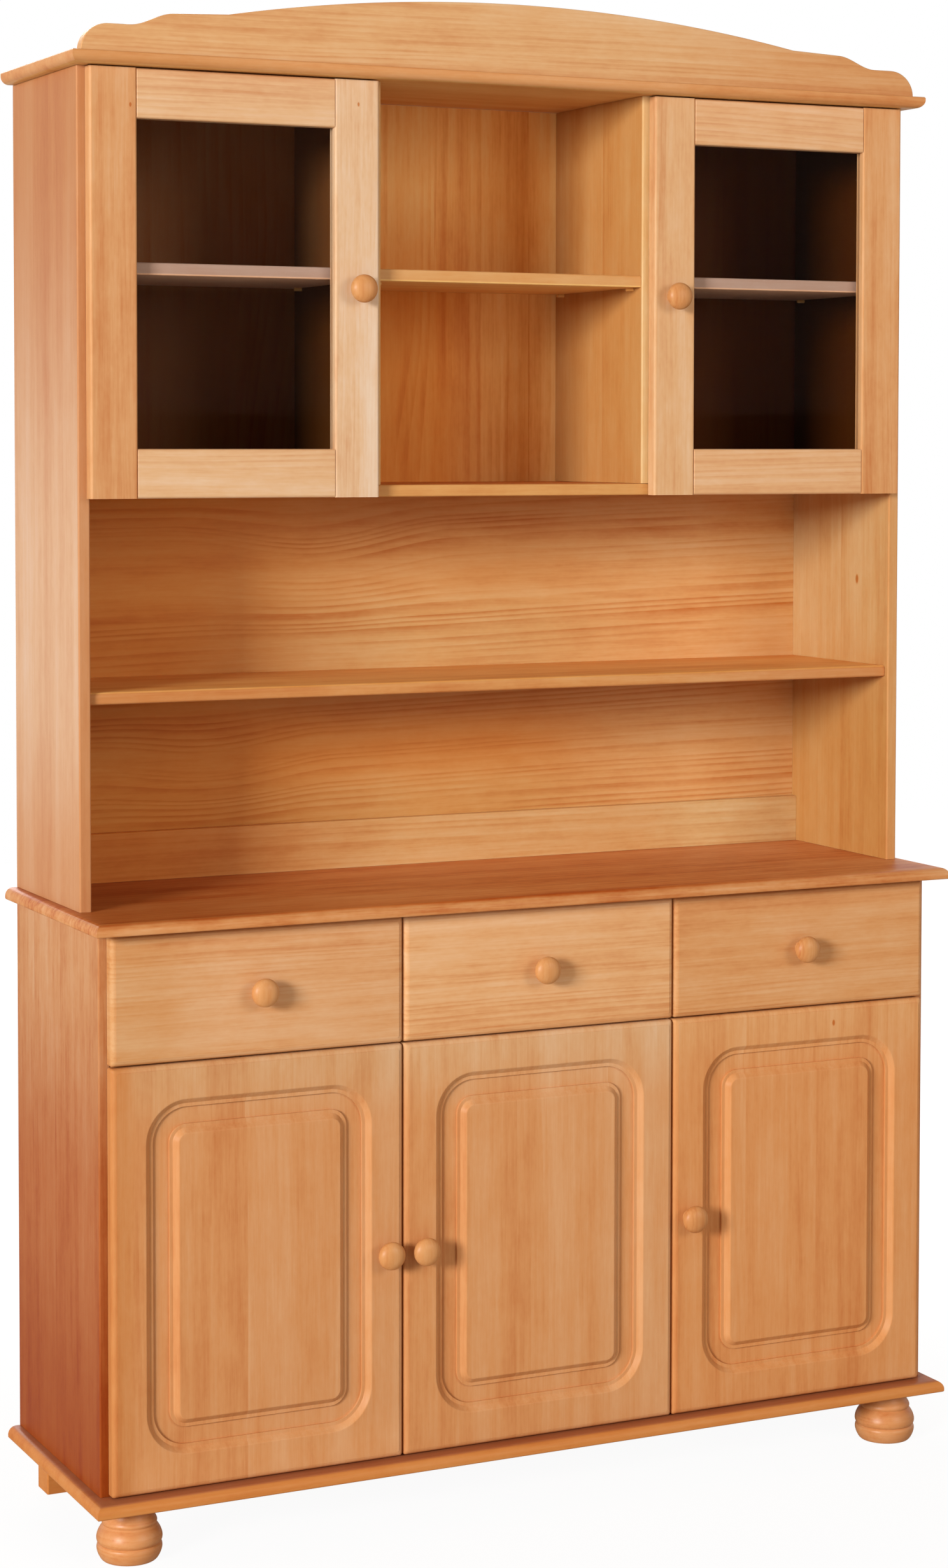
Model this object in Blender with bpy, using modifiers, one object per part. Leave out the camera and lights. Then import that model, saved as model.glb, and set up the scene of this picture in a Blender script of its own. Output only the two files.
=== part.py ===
"""A two-part pine dresser: a base with three doors and three drawers, and a glazed hutch.

Metres, +Z up. The front faces -Y, and the origin is on the floor under the middle of the
dresser's box. Every board, front, knob, foot and hinge is its own object. Doors hang from
empties on their hinge axes, and drawers from empties at their fronts.
"""

import math

import bmesh
import bpy
from mathutils import Matrix, Vector

# Carcass sizes
WIDTH = 1.200  # over the tips of the moulded boards
BOARD = 0.015  # thickness of every carcass board
CARCASS_DEPTH = 0.316  # front edge of the base's side panels to the back
HUTCH_DEPTH = 0.250  # front edge of the hutch's side panels to the back
SIDE_INSET = 0.016  # tip of a moulded board to the outer face of a side panel
SEAT = 0.0003  # joint line between two pieces that touch
FRONT_THICK = 0.016  # doors, drawer fronts and glazed frames
FRONT_CLEAR = 0.0009  # behind a closed door, room for its back corner to swing
FRONT_SPACE = 0.002  # between two neighbouring fronts
EDGE_SHOW = 0.0105  # side panel's front edge seen beside a closed door
BACK_THICK = 0.003
REBATE_WIDTH = 0.008  # of the side panels' rebates that hold the back
EASED_EDGE = 0.002
OVERRUN = 0.010  # how far a cutter runs past what it cuts

# Heights
FOOT_HEIGHT = 0.0685
BASE_SIDE_HEIGHT = 0.6825  # plinth board to top board
DRAWER_BAY_HEIGHT = 0.1535
BASE_SHELF_RISE = 0.254  # plinth board to the underside of the loose shelf
HUTCH_SIDE_HEIGHT = 1.019  # top board to cornice board
OPEN_SHELF_RISE = 0.2505  # top board to the underside of the open shelf
CABINET_BAY_HEIGHT = 0.5035  # glazed cupboard, floor to cornice board
GLAZED_SHELF_RISE = 0.2555  # cupboard floor to the underside of its shelf

# Moulded boards
PLINTH_OVERHANG = 0.038  # in front of the side panels
TOP_OVERHANG = 0.042
CORNICE_OVERHANG = 0.035
NOSE_ROUND = 0.0105  # large rounding of the moulded edge
NOSE_EASE = 0.0025  # small rounding on its other side
NOSE_STEPS = 5
EASE_STEPS = 2

# Shelves and rail
SHELF_END_CLEAR = 0.0005
BASE_SHELF_SETBACK = 0.030
OPEN_SHELF_SETBACK = 0.007
GLAZED_SHELF_SETBACK = 0.0025
OPEN_SHELF_ROUND = 0.005
PIN_RADIUS = 0.0025
PIN_LENGTH = 0.010
PIN_BITE = 0.0006  # how far a pin is let into its shelf
PIN_SETBACK_FRONT = 0.022
PIN_SETBACK_BACK = 0.024
RAIL_HEIGHT = 0.064
RAIL_THICK = 0.011

# Crest board on the cornice, from its end to the middle
CREST_SETBACK = 0.010  # behind the cornice's front tip
CREST_END_INSET = 0.0135  # in from the cornice's end
CREST_END_WIDTH = 0.035  # quarter round at the end
CREST_END_RISE = 0.033
CREST_FLAT_WIDTH = 0.026
CREST_WAVE_WIDTH = 0.058  # S curve up to the shoulder
CREST_WAVE_RISE = 0.016
CREST_SHOULDER_WIDTH = 0.069
CREST_SHOULDER_RISE = 0.003
CREST_ARCH_RISE = 0.0355
CREST_ROUND_STEPS = 7
CREST_WAVE_STEPS = 8
CREST_ARCH_STEPS = 24

# Edge of every drawer front and panelled door
FRONT_ROUND = 0.006
FRONT_ROUND_STEPS = 4
FRONT_EDGE_STEP = 0.0006  # small step from the round up to the face
FRONT_CORNER = 0.003
CORNER_STEPS = 5  # of the fronts' corners and of the doors' moulding

# Drawers
DRAWER_TOP_SHOW = 0.003  # above a drawer front
DRAWER_SIDE_CLEAR = 0.0008  # running gap on each side
DRAWER_DROP_CLEAR = 0.0005  # running gap over the tier board
DRAWER_BOX_HEIGHT = 0.118
DRAWER_BOX_DEPTH = 0.283
DRAWER_WALL = 0.012
DRAWER_BOTTOM_RISE = 0.008
DRAWER_BOTTOM_THICK = 0.003

# Panelled doors
DOOR_BOTTOM_SHOW = 0.0015  # plinth board to the door
MOULDING_INSET = 0.0422  # door edge to the moulding
MOULDING_INNER_CORNER = 0.010  # corner radius of the moulding's inner edge
SLOPE_WIDTH = 0.0072  # flat slope that leads down from the face
SLOPE_DEPTH = 0.006
SLOPE_ROUND = 0.0024  # round where the slope leaves the face
SLOPE_STEPS = 3
LEDGE_WIDTH = 0.0044
WALL_HEIGHT = 0.0032  # step from the ledge down to the sunk margin
MARGIN_WIDTH = 0.0208
DOOR_KNOB_INSET = 0.023  # free edge to the knob's axis
DOOR_KNOB_RISE = 0.259  # door's lower edge to the knob's axis

# Glazed doors
GLAZED_WIDTH = 0.378
GLAZED_TOP_SHOW = 0.0018
PARTITION_SHOW = 0.0095  # partition's front edge seen beside a glazed door
STILE_WIDTH = 0.060
GLAZED_ROUND = 0.0035
GLAZED_INNER_ROUND = 0.003
GLAZED_ROUND_STEPS = 3
GLASS_RECESS = 0.009  # face of the frame to the glass
GLASS_THICK = 0.004
GLASS_BITE = 0.007  # how far the glass sits in its groove
GLASS_CLEAR = 0.0004
JOINT_LINE = 0.0012  # width of the line between rail and stile
GLAZED_KNOB_INSET = 0.028
GLAZED_KNOB_RISE = 0.2585

# Turned knobs
KNOB_RADIUS = 0.0175
KNOB_REACH = 0.027
KNOB_STEPS = 24
KNOB_PROFILE_SHARES = (
    (0.00, 1.000), (0.30, 0.988), (0.57, 0.945), (0.80, 0.860), (0.95, 0.750),
    (1.00, 0.630), (0.97, 0.510), (0.84, 0.400), (0.64, 0.320), (0.54, 0.240),
    (0.53, 0.120), (0.57, 0.000), (0.00, 0.000),
)

# Feet
FOOT_RADIUS = 0.040
FOOT_INSET_X = 0.059  # board tip to the axis of a turned foot
FOOT_INSET_Y = 0.056
FOOT_STEPS = 28
FOOT_PROFILE_SHARES = (
    (0.000, 1.000), (0.700, 1.000), (0.700, 0.876), (0.750, 0.788), (0.815, 0.722),
    (0.840, 0.672), (0.812, 0.628), (0.900, 0.560), (0.965, 0.485), (1.000, 0.405),
    (0.988, 0.338), (0.935, 0.292), (0.985, 0.258), (0.993, 0.190), (0.950, 0.105),
    (0.880, 0.030), (0.830, 0.000), (0.000, 0.000),
)
BLOCK_FOOT_WIDTH = 0.060
BLOCK_FOOT_DEPTH = 0.038
BLOCK_FOOT_INSET_X = 0.040
BLOCK_FOOT_INSET_Y = 0.001

# Concealed hinges
AXIS_INSET = 0.004  # hinge axis, in from the door's edge and back from its face
HINGE_END_BASE = 0.090  # door's end to the hinge
HINGE_END_GLAZED = 0.080
CUP_RADIUS = 0.0175
CUP_DEPTH = 0.012
CUP_INSET = 0.022  # door's edge to the cup's centre
CUP_STEPS = 24
ARM_WIDTH = 0.016
ARM_INNER = 0.004  # arm's near side, in from the panel
ARM_OUTER = 0.012
ARM_LENGTH = 0.062
ELBOW_LENGTH = 0.006
ELBOW_REACH = 0.006  # past the cup's centre
PLATE_THICK = 0.0045
PLATE_HEIGHT = 0.050
PLATE_START = 0.030  # front edge of the panel to the plate
PLATE_LENGTH = 0.030

# Planes and edges worked out from the sizes above
half_width = WIDTH / 2
side_outer = half_width - SIDE_INSET
side_inner = side_outer - BOARD
front_reach = side_outer - EDGE_SHOW
front_width = (2 * front_reach - 2 * FRONT_SPACE) / 3
gap_x = front_width / 2 + FRONT_SPACE / 2
partition_low = gap_x - BOARD / 2
partition_high = gap_x + BOARD / 2

front_stack = FRONT_THICK + FRONT_CLEAR + KNOB_REACH
depth = CARCASS_DEPTH + max(front_stack, TOP_OVERHANG)
y_back = depth / 2
y_backing = y_back - BACK_THICK
y_board_end = y_backing - SEAT
y_carcass = y_back - CARCASS_DEPTH
y_face = y_carcass - FRONT_CLEAR - FRONT_THICK
y_hutch = y_back - HUTCH_DEPTH
y_hutch_face = y_hutch - FRONT_CLEAR - FRONT_THICK
y_crest = y_hutch - CORNICE_OVERHANG + CREST_SETBACK

z_plinth_top = FOOT_HEIGHT + BOARD
z_top_under = z_plinth_top + BASE_SIDE_HEIGHT
z_top = z_top_under + BOARD
z_tier_top = z_top_under - DRAWER_BAY_HEIGHT
z_tier_under = z_tier_top - BOARD
z_front_split = (z_tier_top + z_tier_under) / 2
z_base_shelf = z_plinth_top + BASE_SHELF_RISE
z_cornice_under = z_top + HUTCH_SIDE_HEIGHT
z_cornice_top = z_cornice_under + BOARD
z_floor_top = z_cornice_under - CABINET_BAY_HEIGHT
z_floor_under = z_floor_top - BOARD
z_glazed_shelf = z_floor_top + GLAZED_SHELF_RISE
z_open_shelf = z_top + OPEN_SHELF_RISE

glazed_inner = front_reach - GLAZED_WIDTH
hutch_partition_inner = glazed_inner - PARTITION_SHOW
hutch_partition_outer = hutch_partition_inner + BOARD

FACE_NAMES = ("left", "right", "front", "back", "bottom", "top")
FRONT_CORNERS = (("front", "left"), ("front", "right"))
UPPER_NOSE = (("front", "top"), ("left", "top"), ("right", "top"))
LOWER_NOSE = (("front", "bottom"), ("left", "bottom"), ("right", "bottom"))


def clear_scene():
    for old in list(bpy.data.objects):
        bpy.data.objects.remove(old, do_unlink=True)


def new_collection(name):
    group = bpy.data.collections.new(name)
    bpy.context.scene.collection.children.link(group)
    return group


clear_scene()
parts = new_collection("pine_dresser")
cutters = new_collection("cutters")


def finish(name, colour, roughness, metallic=0.0, alpha=1.0):
    """A plain Principled material in the part's own colour."""
    material = bpy.data.materials.new(name)
    material.use_nodes = True
    shader = material.node_tree.nodes["Principled BSDF"]
    shader.inputs["Base Color"].default_value = (*colour, 1.0)
    shader.inputs["Roughness"].default_value = roughness
    shader.inputs["Metallic"].default_value = metallic
    shader.inputs["Alpha"].default_value = alpha
    material.diffuse_color = (*colour, alpha)
    return material


pine = finish("lacquered_pine", (0.62, 0.32, 0.12), 0.35)
pine_dark = finish("stained_pine_inside", (0.36, 0.13, 0.05), 0.45)
plywood = finish("drawer_plywood", (0.66, 0.42, 0.22), 0.55)
glass = finish("clear_glass", (0.80, 0.84, 0.82), 0.03, alpha=0.35)
steel = finish("plated_steel", (0.60, 0.60, 0.58), 0.30, metallic=1.0)


def place(mesh, name, material, location=(0, 0, 0), pivot=None):
    """Put a mesh in the dresser's collection, hung from a pivot where it has one."""
    piece = bpy.data.objects.new(name, mesh)
    piece.data.materials.append(material)
    parts.objects.link(piece)
    piece.location = location
    if pivot is not None:
        piece.parent = pivot
        piece.location = Vector(location) - pivot.location
    return piece


def mesh_from(bm, name):
    mesh = bpy.data.meshes.new(name)
    bm.to_mesh(mesh)
    bm.free()
    return mesh


def new_pivot(name, location):
    """An empty on a joint's axis, which carries everything that moves with it."""
    empty = bpy.data.objects.new(name, None)
    parts.objects.link(empty)
    empty.location = location
    return empty


def add_box(bm, low, high):
    size = Vector(high) - Vector(low)
    middle = (Vector(high) + Vector(low)) / 2
    matrix = Matrix.Translation(middle) @ Matrix.Diagonal((*size, 1.0))
    bmesh.ops.create_cube(bm, size=1.0, matrix=matrix)


def add_rod(bm, centre, turn, radius, length, steps):
    matrix = Matrix.Translation(centre) @ turn
    bmesh.ops.create_cone(bm, cap_ends=True, segments=steps, radius1=radius, radius2=radius,
                          depth=length, matrix=matrix)


def face_plane(half_size, face):
    """Axis of a centred box's face, and where the face lies on it."""
    axis, is_far_side = divmod(FACE_NAMES.index(face), 2)
    return axis, half_size[axis] if is_far_side else -half_size[axis]


def edges_between(bm, half_size, *faces):
    """The straight edge that two faces of a centred box share."""
    tolerance = SEAT / 100
    planes = [face_plane(half_size, face) for face in faces]
    return [edge for edge in bm.edges
            if all(abs(vert.co[axis] - place) < tolerance
                   for vert in edge.verts for axis, place in planes)]


def board(name, low, high, material, rounds=(), pivot=None):
    """A board between two corners. rounds lists (radius, steps, pairs of faces)."""
    low = Vector(low)
    high = Vector(high)
    half_size = (high - low) / 2
    bm = bmesh.new()
    add_box(bm, -half_size, half_size)
    for radius, steps, pairs in rounds:
        edges = [edge for pair in pairs for edge in edges_between(bm, half_size, *pair)]
        bmesh.ops.bevel(bm, geom=edges, offset=radius, offset_type="OFFSET", segments=steps,
                        profile=0.5, affect="EDGES", clamp_overlap=True)
    return place(mesh_from(bm, name), name, material, (low + high) / 2, pivot)


def boolean(piece, operation, name, bm):
    """Cut or join a piece with a hidden shape."""
    shape = bpy.data.objects.new(name, mesh_from(bm, name))
    cutters.objects.link(shape)
    shape.hide_render = True
    shape.display_type = "WIRE"
    modifier = piece.modifiers.new(name, "BOOLEAN")
    modifier.operation = operation
    modifier.solver = "EXACT"
    modifier.object = shape


def loft(name, loops, material, location, closed=False, pivot=None):
    """A skin through loops of equal point count, capped at both ends or closed on itself."""
    bm = bmesh.new()
    rows = [[bm.verts.new(point) for point in loop] for loop in loops]
    pairs = list(zip(rows, rows[1:]))
    if closed:
        pairs.append((rows[-1], rows[0]))
    else:
        bm.faces.new(rows[0])
        bm.faces.new(rows[-1])
    for row, next_row in pairs:
        for k in range(len(row)):
            after = (k + 1) % len(row)
            bm.faces.new((row[k], row[after], next_row[after], next_row[k]))
    bmesh.ops.recalc_face_normals(bm, faces=bm.faces[:])
    return place(mesh_from(bm, name), name, material, location, pivot)


def rounded_loop(half_x, half_z, radius, y, steps):
    """A rectangle with round corners, standing in the plane of a door."""
    points = []
    for corner, (side_x, side_z) in enumerate(((1, -1), (1, 1), (-1, 1), (-1, -1))):
        centre_x = side_x * (half_x - radius)
        centre_z = side_z * (half_z - radius)
        for k in range(steps + 1):
            angle = math.radians(90 * (corner - 1) + 90 * k / steps)
            points.append((centre_x + radius * math.cos(angle), y,
                           centre_z + radius * math.sin(angle)))
    return points


def square_loop(half_x, half_z, y):
    return [(half_x, y, -half_z), (half_x, y, half_z), (-half_x, y, half_z), (-half_x, y, -half_z)]


def quarter(width, rise, steps, steep_first):
    """Points of a quarter ellipse as (along, up), from (0, 0) to (width, rise)."""
    points = []
    for k in range(steps + 1):
        angle = math.radians(90 * k / steps)
        if steep_first:
            points.append((width * (1 - math.cos(angle)), rise * math.sin(angle)))
        else:
            points.append((width * math.sin(angle), rise * (1 - math.cos(angle))))
    return points


def turned(name, profile, steps, material, location, turn, pivot=None):
    """A turned piece: half a profile from top to bottom, screwed round Z."""
    mesh = bpy.data.meshes.new(name)
    points = [(radius, 0, height) for radius, height in profile]
    mesh.from_pydata(points, [(k, k + 1) for k in range(len(points) - 1)], [])
    piece = place(mesh, name, material, location, pivot)
    piece.rotation_euler = turn
    screw = piece.modifiers.new("turning", "SCREW")
    screw.axis = "Z"
    screw.angle = math.radians(360)
    screw.steps = steps
    screw.render_steps = steps
    screw.use_merge_vertices = True
    screw.merge_threshold = SEAT / 30
    screw.use_smooth_shade = True
    return piece


def flat_outline(name, points, thick, material, location, turn=(0, 0, 0), pivot=None):
    """A flat piece cut to an outline: a filled 2D curve with its thickness, made a mesh."""
    curve = bpy.data.curves.new(name, "CURVE")
    curve.dimensions = "2D"
    curve.fill_mode = "BOTH"
    curve.extrude = thick / 2
    spline = curve.splines.new("POLY")
    spline.points.add(len(points) - 1)
    for point, (along, up) in zip(spline.points, points):
        point.co = (along, up, 0, 1)
    spline.use_cyclic_u = True
    sketch = bpy.data.objects.new(name + "_sketch", curve)
    parts.objects.link(sketch)
    view = bpy.context.evaluated_depsgraph_get()
    mesh = bpy.data.meshes.new_from_object(sketch.evaluated_get(view))
    bpy.data.objects.remove(sketch, do_unlink=True)
    bm = bmesh.new()
    bm.from_mesh(mesh)
    bmesh.ops.remove_doubles(bm, verts=bm.verts[:], dist=SEAT / 30)
    bmesh.ops.recalc_face_normals(bm, faces=bm.faces[:])
    bm.to_mesh(mesh)
    bm.free()
    mesh.name = name
    mesh.materials.clear()
    piece = place(mesh, name, material, location, pivot)
    piece.rotation_euler = turn
    return piece


# Boards with a moulded edge on the front and both ends


def moulded_board(name, overhang, front, z_low, face_up):
    """Plinth, top and cornice: a large round on one side of the edge, a small one opposite."""
    large, small = (UPPER_NOSE, LOWER_NOSE) if face_up else (LOWER_NOSE, UPPER_NOSE)
    return board(name, (-half_width, front - overhang, z_low), (half_width, y_back, z_low + BOARD),
                 pine, ((NOSE_ROUND, NOSE_STEPS, large), (NOSE_EASE, EASE_STEPS, small)))


moulded_board("plinth_board", PLINTH_OVERHANG, y_carcass, FOOT_HEIGHT, True)
moulded_board("base_top_board", TOP_OVERHANG, y_carcass, z_top_under, True)
moulded_board("cornice_board", CORNICE_OVERHANG, y_hutch, z_cornice_under, False)


# Feet


def turned_foot(side, sign):
    profile = [(FOOT_RADIUS * out, (FOOT_HEIGHT - SEAT) * up) for out, up in FOOT_PROFILE_SHARES]
    location = (sign * (half_width - FOOT_INSET_X), y_carcass - PLINTH_OVERHANG + FOOT_INSET_Y, 0)
    turned("foot_front_" + side, profile, FOOT_STEPS, pine, location, (0, 0, 0))


def block_foot(side, sign):
    outer = sign * (half_width - BLOCK_FOOT_INSET_X)
    inner = outer - sign * BLOCK_FOOT_WIDTH
    rear = y_back - BLOCK_FOOT_INSET_Y
    board("foot_rear_" + side, (min(outer, inner), rear - BLOCK_FOOT_DEPTH, 0),
          (max(outer, inner), rear, FOOT_HEIGHT - SEAT), pine,
          ((EASED_EDGE, EASE_STEPS, (("left", "front"), ("right", "front"))),))


for side, sign in (("left", -1), ("right", 1)):
    turned_foot(side, sign)
    block_foot(side, sign)


# Side panels, each with a rebate for the thin back


def side_panel(name, sign, front, z_low, z_high):
    outer = sign * side_outer
    inner = sign * side_inner
    panel = board(name, (min(outer, inner), front, z_low + SEAT),
                  (max(outer, inner), y_back, z_high - SEAT), pine,
                  ((EASED_EDGE, EASE_STEPS, FRONT_CORNERS),))
    bottom_of_rebate = sign * (side_inner + REBATE_WIDTH)
    past_face = sign * (side_inner - OVERRUN)
    bm = bmesh.new()
    add_box(bm, (min(bottom_of_rebate, past_face), y_board_end, z_low - OVERRUN),
            (max(bottom_of_rebate, past_face), y_back + OVERRUN, z_high + OVERRUN))
    boolean(panel, "DIFFERENCE", name + "_rebate", bm)


for side, sign in (("left", -1), ("right", 1)):
    side_panel("base_side_" + side, sign, y_carcass, z_plinth_top, z_top_under)
    side_panel("hutch_side_" + side, sign, y_hutch, z_top, z_cornice_under)


# Boards inside the base


def tier_board(name, x_low, x_high):
    """A board across a bay, on which the drawers run."""
    board(name, (x_low + SEAT, y_carcass, z_tier_under), (x_high - SEAT, y_board_end, z_tier_top),
          pine_dark)


board("base_partition", (partition_low, y_carcass, z_plinth_top + SEAT),
      (partition_high, y_board_end, z_top_under - SEAT), pine)
tier_board("tier_board_left", -side_inner, partition_low)
tier_board("tier_board_right", partition_high, side_inner)
board("drawer_divider", (-partition_high, y_carcass, z_tier_top + SEAT),
      (-partition_low, y_board_end, z_top_under - SEAT), pine)


def thin_back(name, z_low, z_high):
    """A thin back panel, held in the side panels' rebates."""
    reach = side_inner + REBATE_WIDTH - SEAT
    board(name, (-reach, y_backing, z_low + SEAT), (reach, y_back, z_high - SEAT), pine_dark)


thin_back("base_back", z_plinth_top, z_top_under)
thin_back("hutch_back_lower", z_top, (z_floor_under + z_floor_top) / 2)
thin_back("hutch_back_upper", (z_floor_under + z_floor_top) / 2, z_cornice_under)


def pinned_shelf(name, x_low, x_high, front, z_low):
    """A loose shelf that lies on four short pins, two at each end."""
    shelf = board(name, (x_low + SHELF_END_CLEAR, front, z_low),
                  (x_high - SHELF_END_CLEAR, y_board_end, z_low + BOARD), pine_dark,
                  ((EASED_EDGE, EASE_STEPS, (("front", "top"), ("front", "bottom"))),))
    turn = Matrix.Rotation(math.radians(90), 4, "Y")
    z_pin = z_low - PIN_RADIUS + PIN_BITE
    middle_low = x_low + SEAT + PIN_LENGTH / 2
    middle_high = x_high - SEAT - PIN_LENGTH / 2
    bm = bmesh.new()
    for y_pin in (front + PIN_SETBACK_FRONT, y_board_end - PIN_SETBACK_BACK):
        for x_pin in (middle_low, middle_high):
            add_rod(bm, (x_pin, y_pin, z_pin), turn, PIN_RADIUS, PIN_LENGTH, 12)
    boolean(shelf, "UNION", name + "_pins", bm)


y_base_shelf = y_carcass + BASE_SHELF_SETBACK
y_glazed_shelf = y_hutch + GLAZED_SHELF_SETBACK
pinned_shelf("base_shelf_left", -side_inner, partition_low, y_base_shelf, z_base_shelf)
pinned_shelf("base_shelf_right", partition_high, side_inner, y_base_shelf, z_base_shelf)
pinned_shelf("hutch_shelf_left", -side_inner, -hutch_partition_outer, y_glazed_shelf,
             z_glazed_shelf)
pinned_shelf("hutch_shelf_centre", -hutch_partition_inner, hutch_partition_inner,
             y_glazed_shelf, z_glazed_shelf)
pinned_shelf("hutch_shelf_right", hutch_partition_outer, side_inner, y_glazed_shelf,
             z_glazed_shelf)


# Boards inside the hutch

board("cabinet_floor", (-side_inner + SEAT, y_hutch, z_floor_under),
      (side_inner - SEAT, y_board_end, z_floor_top), pine,
      ((EASED_EDGE, EASE_STEPS, (("front", "top"), ("front", "bottom"))),))
board("open_shelf", (-side_inner + SEAT, y_hutch + OPEN_SHELF_SETBACK, z_open_shelf),
      (side_inner - SEAT, y_board_end, z_open_shelf + BOARD), pine,
      ((OPEN_SHELF_ROUND, NOSE_STEPS, (("front", "top"),)),
       (EASED_EDGE, EASE_STEPS, (("front", "bottom"),))))
board("rear_rail", (-side_inner + SEAT, y_board_end - RAIL_THICK, z_top + SEAT),
      (side_inner - SEAT, y_board_end, z_top + RAIL_HEIGHT), pine,
      ((EASED_EDGE, EASE_STEPS, (("front", "top"),)),))
for side, low, high in (("left", -hutch_partition_outer, -hutch_partition_inner),
                        ("right", hutch_partition_inner, hutch_partition_outer)):
    board("hutch_partition_" + side, (low, y_hutch, z_floor_top + SEAT),
          (high, y_board_end, z_cornice_under - SEAT), pine,
          ((EASED_EDGE, EASE_STEPS, FRONT_CORNERS),))


# Crest board


def crest_outline():
    """Right half from the end to the middle, then the left half as its mirror image."""
    reach = half_width - CREST_END_INSET
    right = [(reach, 0)]
    start, height = reach, 0
    for along, up in quarter(CREST_END_WIDTH, CREST_END_RISE, CREST_ROUND_STEPS, True)[1:]:
        right.append((start - along, height + up))
    start -= CREST_END_WIDTH + CREST_FLAT_WIDTH
    height += CREST_END_RISE
    for k in range(CREST_WAVE_STEPS + 1):
        share = k / CREST_WAVE_STEPS
        up = CREST_WAVE_RISE * (1 - math.cos(math.pi * share)) / 2
        right.append((start - CREST_WAVE_WIDTH * share, height + up))
    start -= CREST_WAVE_WIDTH
    height += CREST_WAVE_RISE
    arch_half = start - CREST_SHOULDER_WIDTH
    height += CREST_SHOULDER_RISE
    arch_radius = (arch_half ** 2 + CREST_ARCH_RISE ** 2) / (2 * CREST_ARCH_RISE)
    arch_centre = height + CREST_ARCH_RISE - arch_radius
    for k in range(CREST_ARCH_STEPS):
        along = arch_half * (1 - k / CREST_ARCH_STEPS)
        right.append((along, arch_centre + math.sqrt(arch_radius ** 2 - along ** 2)))
    left = [(-along, up) for along, up in reversed(right)]
    return right + [(0, height + CREST_ARCH_RISE)] + left


flat_outline("crest_board", crest_outline(), BOARD, pine,
             (0, y_crest + BOARD / 2, z_cornice_top + SEAT), (math.radians(90), 0, 0))


# Knobs


def knob(name, x, face, z, pivot):
    """A turned knob on a front, its axis square to the face."""
    reach = KNOB_REACH - SEAT
    profile = [(KNOB_RADIUS * out, reach * up) for out, up in KNOB_PROFILE_SHARES]
    turned(name, profile, KNOB_STEPS, pine, (x, face - SEAT, z), (math.radians(90), 0, 0), pivot)


# Drawers


def front_loops(half_x, half_z):
    """Loops round a drawer front or a door, from its back over the edge to its face."""
    sections = [(0, FRONT_THICK)]
    for along, up in quarter(FRONT_ROUND, FRONT_ROUND, FRONT_ROUND_STEPS, True):
        sections.append((along, FRONT_EDGE_STEP + FRONT_ROUND - up))
    sections.append((FRONT_ROUND, 0))
    return [rounded_loop(half_x - inset, half_z - inset, FRONT_CORNER, down, CORNER_STEPS)
            for inset, down in sections]


def drawer(side, x_middle, bay_low, bay_high):
    """A rounded front on a box that is open at the top, and its knob."""
    z_low = z_front_split + FRONT_SPACE / 2
    z_high = z_top_under - DRAWER_TOP_SHOW
    pivot = new_pivot("slide_" + side, (x_middle, y_face, (z_low + z_high) / 2))
    loft("drawer_front_" + side, front_loops(front_width / 2, (z_high - z_low) / 2), pine,
         pivot.location, False, pivot)
    low = Vector((bay_low + DRAWER_SIDE_CLEAR, y_face + FRONT_THICK + SEAT,
                  z_tier_top + DRAWER_DROP_CLEAR))
    high = Vector((bay_high - DRAWER_SIDE_CLEAR, low.y + DRAWER_BOX_DEPTH,
                   low.z + DRAWER_BOX_HEIGHT))
    box = board("drawer_box_" + side, low, high, plywood, (), pivot)
    wall = Vector((DRAWER_WALL, DRAWER_WALL, 0))
    z_bottom = low.z + DRAWER_BOTTOM_RISE
    bm = bmesh.new()
    inner_low = low + wall
    inner_high = high - wall
    add_box(bm, (inner_low.x, inner_low.y, z_bottom + DRAWER_BOTTOM_THICK),
            (inner_high.x, inner_high.y, high.z + OVERRUN))
    add_box(bm, (inner_low.x, inner_low.y, low.z - OVERRUN), (inner_high.x, inner_high.y, z_bottom))
    boolean(box, "DIFFERENCE", "drawer_box_%s_inside" % side, bm)
    knob("drawer_knob_" + side, x_middle, y_face, (z_low + z_high) / 2, pivot)


pitch = front_width + FRONT_SPACE
drawer("left", -pitch, -side_inner, -partition_high)
drawer("middle", 0, -partition_low, partition_low)
drawer("right", pitch, partition_high, side_inner)


# Doors and their hinges


def cup_holes(door, name, x_cup, y_door_back, z_cups):
    """Blind holes in the back of a door, one for each hinge."""
    bm = bmesh.new()
    turn = Matrix.Rotation(math.radians(90), 4, "X")
    y_middle = y_door_back + (OVERRUN - CUP_DEPTH) / 2
    for z_cup in z_cups:
        add_rod(bm, (x_cup, y_middle, z_cup), turn, CUP_RADIUS, CUP_DEPTH + OVERRUN, CUP_STEPS)
    boolean(door, "DIFFERENCE", name + "_cups", bm)


def hinge_arm(name, x_panel, x_cup, inward, front, z):
    """The fixed half of a concealed hinge: arm and elbow in one outline, plus its plate."""
    y_elbow = front + SEAT
    cup_reach = abs(x_cup - x_panel) + ELBOW_REACH
    outline = [(ARM_INNER, 0), (cup_reach, 0), (cup_reach, ELBOW_LENGTH),
               (ARM_OUTER, ELBOW_LENGTH), (ARM_OUTER, ARM_LENGTH), (ARM_INNER, ARM_LENGTH)]
    points = [(inward * along, up) for along, up in outline]
    arm = flat_outline(name, points, ARM_WIDTH, steel, (x_panel, y_elbow, z))
    near = x_panel + inward * SEAT
    far = x_panel + inward * PLATE_THICK
    bm = bmesh.new()
    add_box(bm, (min(near, far), front + PLATE_START, z - PLATE_HEIGHT / 2),
            (max(near, far), front + PLATE_START + PLATE_LENGTH, z + PLATE_HEIGHT / 2))
    boolean(arm, "UNION", name + "_plate", bm)


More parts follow.
